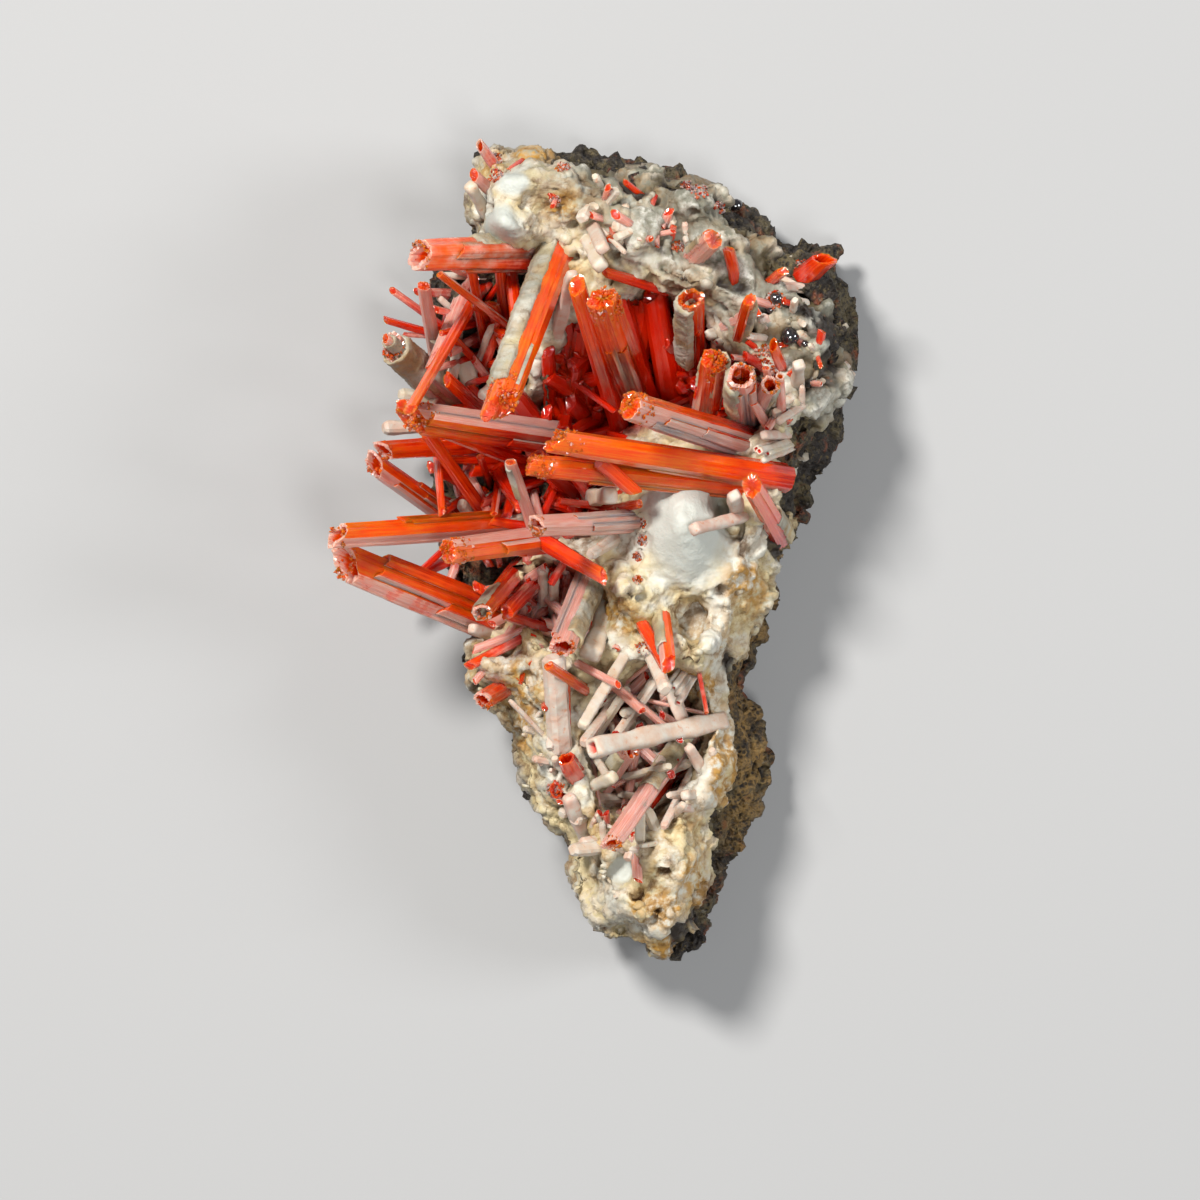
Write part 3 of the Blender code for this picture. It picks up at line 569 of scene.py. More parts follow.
def dress(piece, material):
    """Brings a finished skin from millimetres to metres, and gives it its one material."""
    points, _ = read_points(piece.data)
    write_points(piece.data, points * MM)
    piece.data.materials.clear()
    piece.data.materials.append(material)


rock = make_rock()
dress(rock, gossan_finish())
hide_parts("gossan_matrix")
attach(rock, "root")


# Gibbsite crust
# Pale aluminium hydroxide that coated the rock in grape-like lumps, ledges and rims, left two
# deep vugs open, stained ochre wherever water could stand in it, and cracked thinly in brown.
# Its hollows, creases and pores are darkened as painted shade.

CRUST_CELL = 0.4
CRUST_VOXEL = 0.30
CRUST_FRAY = 0.8
CRUST_LEVEL = 19.0
# Levels between which the painted shade in the vugs and low on the walls fades out
VUG_DEEP, VUG_RIM = 12.5, 17.5
WALL_LOW, WALL_HIGH = 9.5, 15.5
CALM_RELIEF = 0.08  # how much of the relief is left on the smooth mounds
CRUST_EDGE_DROP = 5.0
CRUST_EDGE_WIDTH = 3.2
SEAM_WAVE_SIZE, SEAM_WAVES = 3.0, 1.3
SEAM_SINK = 1.4
CLIMB_RIGHT_FROM, CLIMB_RIGHT = 16.5, 0.60
CLIMB_TOP_FROM, CLIMB_TOP = 30.0, 0.45
TUCK_DEPTH = 1.2
SWELL_SIZE, SWELL_HEIGHT = 5.5, 1.1
LARGE_SIZE, LARGE_HEIGHT = 3.3, 1.25
MIDDLE_SIZE, MIDDLE_HEIGHT = 1.6, 0.50
SMALL_SIZE, SMALL_HEIGHT = 0.75, 0.22
FRET_SIZE, FRET_HEIGHT = 2.4, 0.45
HOLE_SIZE, HOLE_DEPTH = 2.3, 1.7
PRICK_SIZE, PRICK_DEPTH = 1.0, 0.5
DOME_RADIUS, PORE_RADIUS = 0.9, 0.38  # in cells
CREASE_WIDTH, PORE_WALL = 0.2, 0.16
CRUMB_SIZE, CRUMB_HEIGHT = 0.7, 0.20
SUGAR_HEIGHT, SUGAR_SEED = 0.05, 17
BARE_DEPTH = 0.9

# Mounds: centre x, y, half-widths along and across, turn in degrees, rise
CRUST_MOUNDS = [
    (-8.8, 37.0, 4.5, 3.6, 0, 4.0),
    (-10.0, 32.6, 1.9, 1.8, 0, 4.6),
    (-7.6, 31.8, 1.8, 1.7, 0, 3.2),
    (-2.4, 36.2, 4.4, 3.6, -30, 3.6),
    (3.6, 31.8, 3.4, 2.6, -20, 2.6),
    (9.4, 35.0, 3.6, 2.4, -30, 2.6),
    (14.6, 31.6, 2.8, 2.2, -30, 2.0),
    (9.0, 27.2, 5.2, 2.2, -10, 3.4),
    (21.6, 24.6, 2.6, 2.4, 0, 2.2),
    (20.4, 15.4, 4.8, 2.0, 30, 2.2),
    (8.2, 2.6, 4.4, 6.2, 12, 6.6),
    (2.6, -4.0, 3.8, 2.4, -40, 4.6),
    (9.6, -9.8, 3.8, 2.2, -10, 4.2),
    (15.2, -3.6, 2.4, 2.8, 0, 2.0),
    (-5.2, -14.0, 1.9, 6.0, 0, 2.6),
    (-12.0, -11.4, 1.8, 2.0, 0, 1.4),
    (0.0, -32.6, 2.4, 4.4, 0, 1.2),
    (6.2, -31.0, 3.2, 3.0, 0, 3.0),
    (9.6, -32.0, 1.8, 3.6, 0, 1.2),
    (5.2, -35.8, 3.2, 2.0, -8, 1.6),
]
# Vugs and pits: centre x, y, half-widths along and across, turn in degrees, floor height
CRUST_HOLLOWS = [
    (3.2, 18.6, 9.4, 6.6, 24, 8.4),
    (-3.4, 9.6, 5.8, 7.4, 0, 8.4),
    (12.0, 15.4, 4.6, 4.6, 0, 11.0),
    (12.6, 3.6, 1.2, 2.4, 20, 16.5),
    (-3.6, -5.4, 4.2, 4.8, 30, 10.5),
    (4.8, -19.0, 5.8, 7.6, -14, 8.2),
    (9.2, -6.8, 1.3, 2.3, 0, 17.0),
    (2.2, -31.8, 1.6, 1.8, 0, 18.0),
]
FLOOR_SHARE, WALL_SHARE = 0.72, 0.5  # of a hollow's half-widths
VUGS = [hollow[:5] for hollow in CRUST_HOLLOWS if hollow[2] > 4.0]
# Small round pits: centre x, y, radius, depth
CRUST_PITS = [
    (4.1, 2.9, 0.55, 1.6), (4.3, 1.1, 0.6, 1.6), (3.7, -0.5, 0.5, 1.4), (3.7, -2.8, 0.45, 1.2),
    (14.5, -4.0, 1.6, 1.8), (-8.2, -18.6, 0.7, 2.0), (-7.0, -12.8, 0.6, 1.6),
    (2.0, -37.6, 0.9, 2.2), (-1.0, -34.0, 0.6, 1.4), (0.5, -33.3, 0.5, 1.2),
    (-0.2, -30.8, 0.5, 1.4), (10.5, -37.0, 0.8, 1.6), (6.4, -38.8, 0.7, 1.2),
    (16.2, 24.0, 0.9, 2.0), (20.5, 21.5, 1.0, 2.2), (12.8, 34.0, 0.8, 1.8),
    (5.6, 35.6, 0.7, 1.6), (1.0, 35.4, 0.8, 1.6), (-5.0, 38.4, 0.6, 1.4),
]
# Where the crust is smooth and bluish: centre x, y, half-widths along and across, turn
SMOOTH_MOUNDS = [
    (8.4, 2.8, 5.2, 7.2, 12), (-10.0, 32.6, 2.2, 2.0, 0), (-8.6, 36.8, 2.0, 1.5, 0),
    (2.2, -31.8, 1.5, 1.7, 0),
]
# Where it is stained yellow: the same
OCHRE_STAINS = [
    (14.6, -3.8, 2.4, 3.0, 0), (5.8, -35.6, 3.6, 2.2, 0), (7.6, -40.4, 2.4, 2.0, 0),
    (-8.0, -16.0, 2.0, 5.0, 0), (12.4, -20.0, 1.6, 6.0, 0), (2.4, -6.6, 3.4, 2.0, -40),
    (9.4, -33.0, 1.6, 4.0, 0), (-4.0, 27.4, 2.2, 3.0, 0), (9.0, -13.0, 4.0, 1.4, -10),
    (-3.8, 34.6, 1.8, 1.4, 20), (-10.8, 38.4, 1.2, 2.2, -20), (-6.6, 40.0, 2.4, 0.9, 0),
]
# Where it is broken away and the rock shows through: the same
BARE_PATCHES = [
    (-0.6, 38.6, 5.4, 1.2, -8), (3.4, 37.0, 2.4, 1.3, -35), (7.6, 37.4, 3.4, 1.0, -10),
    (14.0, 33.2, 5.0, 1.6, -40), (17.4, 29.6, 3.6, 1.9, -38), (21.0, 26.4, 3.6, 1.8, -40),
    (23.4, 21.0, 1.9, 6.4, 0), (20.4, 24.2, 2.4, 1.4, -20), (20.6, 17.6, 1.4, 3.0, 0),
    (21.0, 11.6, 2.0, 3.4, 40), (18.6, 5.6, 1.2, 3.4, 0), (18.2, 0.6, 1.0, 2.4, 0),
    (13.4, -12.4, 0.7, 3.4, 0), (11.4, -27.4, 1.2, 1.8, 0),
    (8.4, -39.4, 2.2, 2.2, 0), (9.8, -36.4, 0.9, 2.4, 0), (13.6, 26.6, 2.6, 1.0, -30),
]
GIBBSITE_WHITE = (0.52, 0.51, 0.44)
GIBBSITE_BLUE = (0.44, 0.455, 0.41)
GIBBSITE_CREAM = (0.50, 0.42, 0.24)
# Painted highlight for the tops of the lumps
GIBBSITE_HIGHLIGHT = (0.62, 0.61, 0.55)
GIBBSITE_OCHRE = (0.38, 0.20, 0.035)
# Brown of the real thin cracks, and of the painted shade in hollows, creases and pores
GIBBSITE_BROWN = (0.11, 0.052, 0.016)
# Grey of the painted shade towards the top right, and of the sleeves' random grey patches
GIBBSITE_GREY = (0.17, 0.165, 0.125)
# Dark red in the vugs: partly the red of the crystals lining them, partly painted shade and painted red
# glow that deepen with depth
VUG_RED_SHADE = (0.20, 0.016, 0.004)


def reach(form, x, y):
    """Distance from the centre of a form x, y, half-widths and turn, where 1 is its edge."""
    centre_x, centre_y, along, across, turn = form
    c, s = math.cos(math.radians(turn)), math.sin(math.radians(turn))
    u = (x - centre_x) * c + (y - centre_y) * s
    v = (y - centre_y) * c - (x - centre_x) * s
    return np.hypot(u / along, v / across)


def nearness(forms, x, y, full, fade):
    """1 as far as full from the centre of any of the forms, and 0 from there on by fade."""
    return np.max([1.0 - smooth((reach(form, x, y) - full) / fade) for form in forms], axis=0)


def crust_front(x, y):
    """A level sheet that falls at its outline, with bell-shaped mounds, then hollows with flat
    floors, then small round pits."""
    edge = edge_distance(CRUST_OUTLINE, x, y)
    z = CRUST_LEVEL - CRUST_EDGE_DROP * (1.0 - smooth(edge / CRUST_EDGE_WIDTH))
    for *mound, rise in CRUST_MOUNDS:
        z = z + rise * np.exp(-(reach(mound, x, y) ** 2))
    for *hollow, floor_height in CRUST_HOLLOWS:
        z = z + nearness([hollow], x, y, FLOOR_SHARE, WALL_SHARE) * (np.minimum(z, floor_height) - z)
    for pit_x, pit_y, radius, depth in CRUST_PITS:
        z = z - depth * (1.0 - smooth(np.hypot(x - pit_x, y - pit_y) / radius - 0.5))
    return z


def crust_seam(x, y):
    """The underside: a wavy sheet that climbs under the right and top rims, and stays sunk in
    the rock where that is low."""
    to_right = np.maximum(x - CLIMB_RIGHT_FROM, 0.0) * CLIMB_RIGHT
    to_top = np.maximum(y - CLIMB_TOP_FROM, 0.0) * CLIMB_TOP
    climb = SEAM_LEVEL + np.maximum(to_right, to_top)
    flat = np.stack([x, y, 0.0 * x], -1).reshape(-1, 3)
    waves = SEAM_WAVES * (rough_noise(flat, SEAM_WAVE_SIZE, 131, 3) - 0.4).reshape(x.shape)
    return np.minimum(climb + waves, rock_front(x, y) - SEAM_SINK)


def gibbsite_finish():
    """White to cream, bluish on the smooth mounds, greyer towards the top right as painted shade,
    lighter on the tops of lumps as painted highlight, ochre in stains, brown in thin cracks and
    as painted shade in hollows, creases and pores, dark red in the vugs, partly painted shade,
    and brown-black where the rock shows through."""
    s = Shading("gibbsite")
    place = s.place()
    clouds = s.noise(place, 230.0, 4.0, 0.6)
    grain = s.noise(place, 2600.0, 4.0, 0.65)
    mottle = s.noise(place, 900.0, 5.0, 0.65)
    colour = s.mix(s.steps(clouds, 0.40, 0.60), GIBBSITE_WHITE, GIBBSITE_CREAM)
    colour = s.mix(s.attribute("bluish"), colour, GIBBSITE_BLUE)
    # Painted shade: greyer towards the top right of the crust; random grey patches on the sleeves
    dusk = s.times(s.attribute("dusk"), s.steps(clouds, 0.24, 0.47))
    colour = s.mix(dusk, colour, GIBBSITE_GREY)
    # Painted highlight: lighter on the tops of the large lumps
    crest = s.times(s.attribute("crest"), s.steps(mottle, 0.40, 0.58))
    colour = s.mix(s.times(crest, 0.75), colour, GIBBSITE_HIGHLIGHT)
    stain = s.times(s.attribute("stain"), s.steps(mottle, 0.34, 0.58))
    colour = s.mix(stain, colour, GIBBSITE_OCHRE)
    # Painted shade: brown in the hollows, creases, pores and low walls that the mark picks out
    shade_in_crevices = s.times(s.attribute("crevice"), s.steps(mottle, 0.30, 0.62))
    colour = s.mix(shade_in_crevices, colour, GIBBSITE_BROWN)
    winding = s.maths("ABSOLUTE", s.minus(s.noise(place, 420.0, 5.0, 0.6), 0.5))
    cracks = s.minus(1.0, s.steps(winding, 0.0, 0.045))
    faint = s.times(s.steps(mottle, 0.40, 0.62), 0.42)
    cracks = s.times(cracks, s.minus(faint, s.attribute("bluish")))
    colour = s.mix(cracks, colour, GIBBSITE_BROWN)
    rock_colour = s.mix(s.steps(clouds, 0.46, 0.62), GOSSAN_DARK, GOSSAN_OLIVE)
    rock_colour = s.mix(s.steps(mottle, 0.60, 0.72), rock_colour, GOSSAN_RUST)
    colour = s.mix(s.attribute("bare"), colour, rock_colour)
    # Painted shade and red glow in the vugs, partly the red of their lining crystals
    colour = s.mix(s.attribute("red"), colour, VUG_RED_SHADE)
    rough = s.bump(mottle, 0.45, 0.0005)
    rough = s.bump(grain, 0.35, 0.00012, rough)
    return s.finish(
        Base_Color=colour,
        Roughness=s.span(mottle, 0.34, 0.80),
        Normal=rough,
        Subsurface_Weight=0.12,
        Subsurface_Radius=(1.0, 0.8, 0.6),
        Subsurface_Scale=0.0006,
    )


def domes(points, cell, seed, least):
    """Domes round the seeds of a lattice: the root of 1 less the squared distance, times each
    seed's own share from the least up to 1. Then the creases where two of them meet."""
    first, second, owner = nearest_seeds(points, cell, seed)
    dome = np.sqrt(np.clip(1.0 - (first / DOME_RADIUS) ** 2, 0.0, 1.0))
    return dome * (least + (1.0 - least) * owner), smooth(1.0 - (second - first) / CREASE_WIDTH)


def pores(points, cell, seed, share):
    """Round holes at that share of the seeds of a lattice, 1 at the bottom and 0 outside."""
    first, _, owner = nearest_seeds(points, cell, seed)
    return smooth((PORE_RADIUS - first) / PORE_WALL) * (owner < share)


def crust_relief(points):
    """Height of the small forms: domes of three sizes, ridges of folded noise, crumbs and
    sugary grain, less pores of two sizes. Then the domes, their creases and the pores apart."""
    large, large_crease = domes(points, LARGE_SIZE, seed=61, least=0.15)
    middle, middle_crease = domes(points, MIDDLE_SIZE, seed=71, least=0.2)
    small, _ = domes(points, SMALL_SIZE, seed=76, least=0.2)
    grainy = smooth(0.5 + 1.6 * rough_noise(points, 3.6, 96, 2))
    fret = 1.0 - np.abs(rough_noise(points, FRET_SIZE, 86, 3)) * 2.0
    hole = pores(points, HOLE_SIZE, seed=81, share=0.34)
    prick = pores(points, PRICK_SIZE, seed=83, share=0.22) * grainy
    sugar = np.random.default_rng(SUGAR_SEED).standard_normal(len(points))
    lumps = LARGE_HEIGHT * large + MIDDLE_HEIGHT * middle
    relief = lumps + SMALL_HEIGHT * small * grainy + FRET_HEIGHT * fret - 1.2
    relief -= HOLE_DEPTH * hole + PRICK_DEPTH * prick
    relief += CRUMB_HEIGHT * rough_noise(points, CRUMB_SIZE, 91, 2)
    relief += SUGAR_HEIGHT * sugar
    creases = 0.5 * np.maximum(large_crease, 0.6 * middle_crease)
    return relief, lumps, SMALL_HEIGHT * small, creases, hole + prick


def make_crust():
    """The sheet's skin, swollen by low noise and tucked in under its edge. The relief is
    added along the normals where it is free of the rock and not smooth, and it is sunk in
    bare patches. Marks for the finish follow from the same forms and from the height."""
    block = slab_shell(CRUST_OUTLINE, CRUST_CELL, crust_front, crust_seam, CRUST_FRAY)
    crust = voxel_skin("gibbsite_skin", *block, CRUST_VOXEL)
    points, normals = read_points(crust.data)
    x, y, z = points.T
    free = smooth(z - crust_seam(x, y))
    calm = nearness(SMOOTH_MOUNDS, x, y, 0.6, 0.5)
    bold = 1.0 - (1.0 - CALM_RELIEF) * calm
    bare = np.max([1.3 - reach(patch, x, y) for patch in BARE_PATCHES], axis=0)
    swell = SWELL_HEIGHT * rough_noise(points, SWELL_SIZE, 51, 2)
    tuck = normals * [1.0, 1.0, 0.0] * (TUCK_DEPTH * (1.0 - free))[:, None]
    write_points(crust.data, points + normals * (swell * free)[:, None] - tuck)

    points, normals = read_points(crust.data)
    relief, lumps, small_lumps, creases, pored = crust_relief(points)
    bare = smooth(0.5 + 3.0 * (bare - 0.55 + 0.9 * rough_noise(points, 1.9, 111, 3)))
    relief -= bare * (BARE_DEPTH + 0.5 * rough_noise(points, 1.2, 121, 2))
    points = keep_in_box(points + normals * (relief * bold * free)[:, None])
    write_points(crust.data, points)

    x, y, z = points.T
    # Painted shade marks: deep in the vugs, low on the walls, on the low ground between the domes, in
    # creases and in pores
    deep = nearness(VUGS, x, y, FLOOR_SHARE, WALL_SHARE) * smooth((VUG_RIM - z) / (VUG_RIM - VUG_DEEP))
    wall = smooth((WALL_HIGH - z) / (WALL_HIGH - WALL_LOW)) * (1.0 - deep)
    patches = smooth(0.5 + 1.4 * rough_noise(points, 4.5, 101, 3))
    stain = nearness(OCHRE_STAINS, x, y, 0.35, 1.0)
    yellowed = (0.35 + 0.3 * smooth(-y / 10.0)) * patches * (1.0 - calm)
    # Painted highlight mark on the tops of the lumps
    crest = smooth((lumps + small_lumps - 0.85) / 0.7)
    low = smooth((0.9 - lumps) / 0.9) * bold
    crevice = creases * bold * low + 0.85 * low * patches + pored * bold + 0.6 * wall + 0.5 * deep
    store(crust.data, "bluish", calm)
    # Painted shade: greyer towards the top right, less on the smooth mounds
    store(crust.data, "dusk", smooth((y + 0.9 * x - 27.0) / 12.0) * (1.0 - 0.7 * calm))
    store(crust.data, "stain", np.clip(0.9 * stain + yellowed, 0.0, 1.0))
    store(crust.data, "crest", crest * (1.0 - calm))
    store(crust.data, "crevice", np.clip(crevice, 0.0, 1.0))
    store(crust.data, "bare", bare * bold * free)
    # Painted dark red shade and glow, deeper down in the upper vugs
    store(crust.data, "red", np.clip(1.2 * deep * smooth((y + 9.0) / 6.0), 0.0, 1.0))
    flatten_hidden(crust.data, (free < 0.01) & (normals[:, 2] < -0.5))
    return crust


crust = make_crust()
gibbsite = gibbsite_finish()
dress(crust, gibbsite)
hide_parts("gibbsite_crust")
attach(crust, "root")


# Gibbsite nodules
# Small round growths in clusters all over the crust, of the same gibbsite and each half sunk
# in it: the last and finest part of its grape-like surface.

NODULE_CLUSTERS = 60
NODULES_EACH = 6
NODULE_SPREAD = (1.0, 2.6)
NODULE_SINK = 0.42  # radii
NODULE_LEVEL = 9.0  # none lie lower
NODULE_SEED = 15
# The crust's marks that the nodules take over, painted shade and painted highlight among them
NODULE_MARKS = ("bluish", "stain", "crevice", "red", "bare", "dusk", "crest")
BALL_FLATNESS = 0.72
BALL_ROWS = 5
BALL_COLUMNS = 9
DENT_SIZE = 0.7


def tube_faces(rows, columns):
    """Quads between the rings of a closed tube, and fans to a pole at each end. Corner
    coordinates run round the tube in u and from ring to ring in v."""
    r, c = np.meshgrid(np.arange(rows - 1), np.arange(columns), indexing="ij")
    after = (c + 1) % columns
    quads = np.stack([r * columns + c, r * columns + after,
                      (r + 1) * columns + after, (r + 1) * columns + c], -1).reshape(-1, 4)
    u = np.stack([c, c + 1, c + 1, c], -1).reshape(-1, 4)
    v = np.stack([r, r, r + 1, r + 1], -1).reshape(-1, 4)
    ring = np.arange(columns)
    turned = (ring + 1) % columns
    first = np.full(columns, rows * columns)
    last_row = (rows - 1) * columns
    fans = np.concatenate([
        np.stack([first, turned, ring], -1),
        np.stack([first + 1, last_row + ring, last_row + turned], -1),
    ])
    fan_u = np.concatenate([np.stack([ring, ring + 1, ring], -1)] * 2)
    fan_v = np.concatenate([np.zeros((columns, 3), int), np.full((columns, 3), rows - 1)])
    corner_u = np.concatenate([u.ravel(), fan_u.ravel()]) / columns
    corner_v = np.concatenate([v.ravel(), fan_v.ravel()])
    return quads.tolist() + fans.tolist(), corner_u, corner_v


def ball_points(centres, normals, radii, seed):
    """A ball at each centre in rows and columns from pole to pole, flattened along its normal
    and dented by noise."""
    rise = np.linspace(0.0, math.pi, BALL_ROWS + 2)
    turn = np.linspace(0.0, 2.0 * math.pi, BALL_COLUMNS, endpoint=False)
    ring = np.stack([np.outer(np.sin(rise[1:-1]), np.cos(turn)),
                     np.outer(np.sin(rise[1:-1]), np.sin(turn)),
                     np.outer(np.cos(rise[1:-1]), np.ones(BALL_COLUMNS))], -1).reshape(-1, 3)
    ball = np.concatenate([ring, [(0.0, 0.0, 1.0), (0.0, 0.0, -1.0)]])
    side = np.cross(normals, (0.31, 0.77, 0.56))
    side /= np.linalg.norm(side, axis=1, keepdims=True)
    third = np.cross(normals, side)
    axes = np.stack([side, third, BALL_FLATNESS * normals], 1)
    points = centres[:, None] + radii[:, None, None] * np.einsum("kc,ncd->nkd", ball, axes)
    flat = points.reshape(-1, 3)
    dent = 1.0 + 0.45 * rough_noise(flat, DENT_SIZE, seed, 2).reshape(points.shape[:2])
    return centres[:, None] + (points - centres[:, None]) * dent[..., None]


def make_balls(name, centres, normals, radii, seed):
    """One piece of all the balls, smooth shaded."""
    shaped = ball_points(centres, normals, radii, seed)
    faces, _, _ = tube_faces(BALL_ROWS, BALL_COLUMNS)
    size = shaped.shape[1]
    spread = [[corner + size * n for corner in face] for n in range(len(radii)) for face in faces]
    mesh = bpy.data.meshes.new(name)
    mesh.from_pydata((keep_in_box(shaped.reshape(-1, 3)) * MM).tolist(), [], spread)
    mesh.polygons.foreach_set("use_smooth", [True] * len(mesh.polygons))
    return add_object(name, mesh)


def make_nodules(base, seed):
    """Cluster centres are drawn from the crust's own points, and nodules from the points near
    each centre, so that every one of them sits on the crust. They take over its marks."""
    rng = np.random.default_rng(seed)
    points, normals = read_points(base.data)
    points = points / MM
    free = (stored(base.data, "bluish") < 0.2) & (stored(base.data, "red") < 0.3)
    free &= stored(base.data, "bare") < 0.3
    free &= (points[:, 2] > NODULE_LEVEL) & (normals[:, 2] > -0.2)
    sites = np.flatnonzero(free)
    chosen = []
    for centre in rng.choice(sites, NODULE_CLUSTERS, replace=False):
        away = np.linalg.norm(points[sites] - points[centre], axis=1)
        near = sites[away < rng.uniform(*NODULE_SPREAD)]
        chosen.append(rng.choice(near, min(NODULES_EACH, len(near)), replace=False))
    chosen = np.concatenate(chosen)
    radii = rng.uniform(0.2, 0.75, len(chosen)) ** 1.3 + 0.12
    ways = normals[chosen]
    centres = points[chosen] - NODULE_SINK * radii[:, None] * ways
    piece = make_balls("gibbsite_nodules", centres, ways, radii, seed)
    size = len(piece.data.vertices) // len(chosen)
    for mark in NODULE_MARKS:
        store(piece.data, mark, np.repeat(0.6 * stored(base.data, mark)[chosen], size))
    return piece


nodules = make_nodules(crust, NODULE_SEED)
nodules.data.materials.append(gibbsite)
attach(nodules, "root")


# Crocoite prisms
# Lead chromate that grew out of the crust in long rhombic prisms, striated along their length.
# Many end in a hollow with a thin broken rim, some carry a pink film on the faces that looked
# up while the gibbsite settled, and others are wholly sheathed in it.

UP = (0.0, 1.0, 0.0)
DOWN = (0.0, -1.0, 0.0)
LEFT = (-1.0, 0.0, 0.0)
RIGHT = (1.0, 0.0, 0.0)
ABOVE = (0.4, 0.8, 0.4)
BELOW = (0.6, -0.6, 0.5)
ROUND = None  # every face

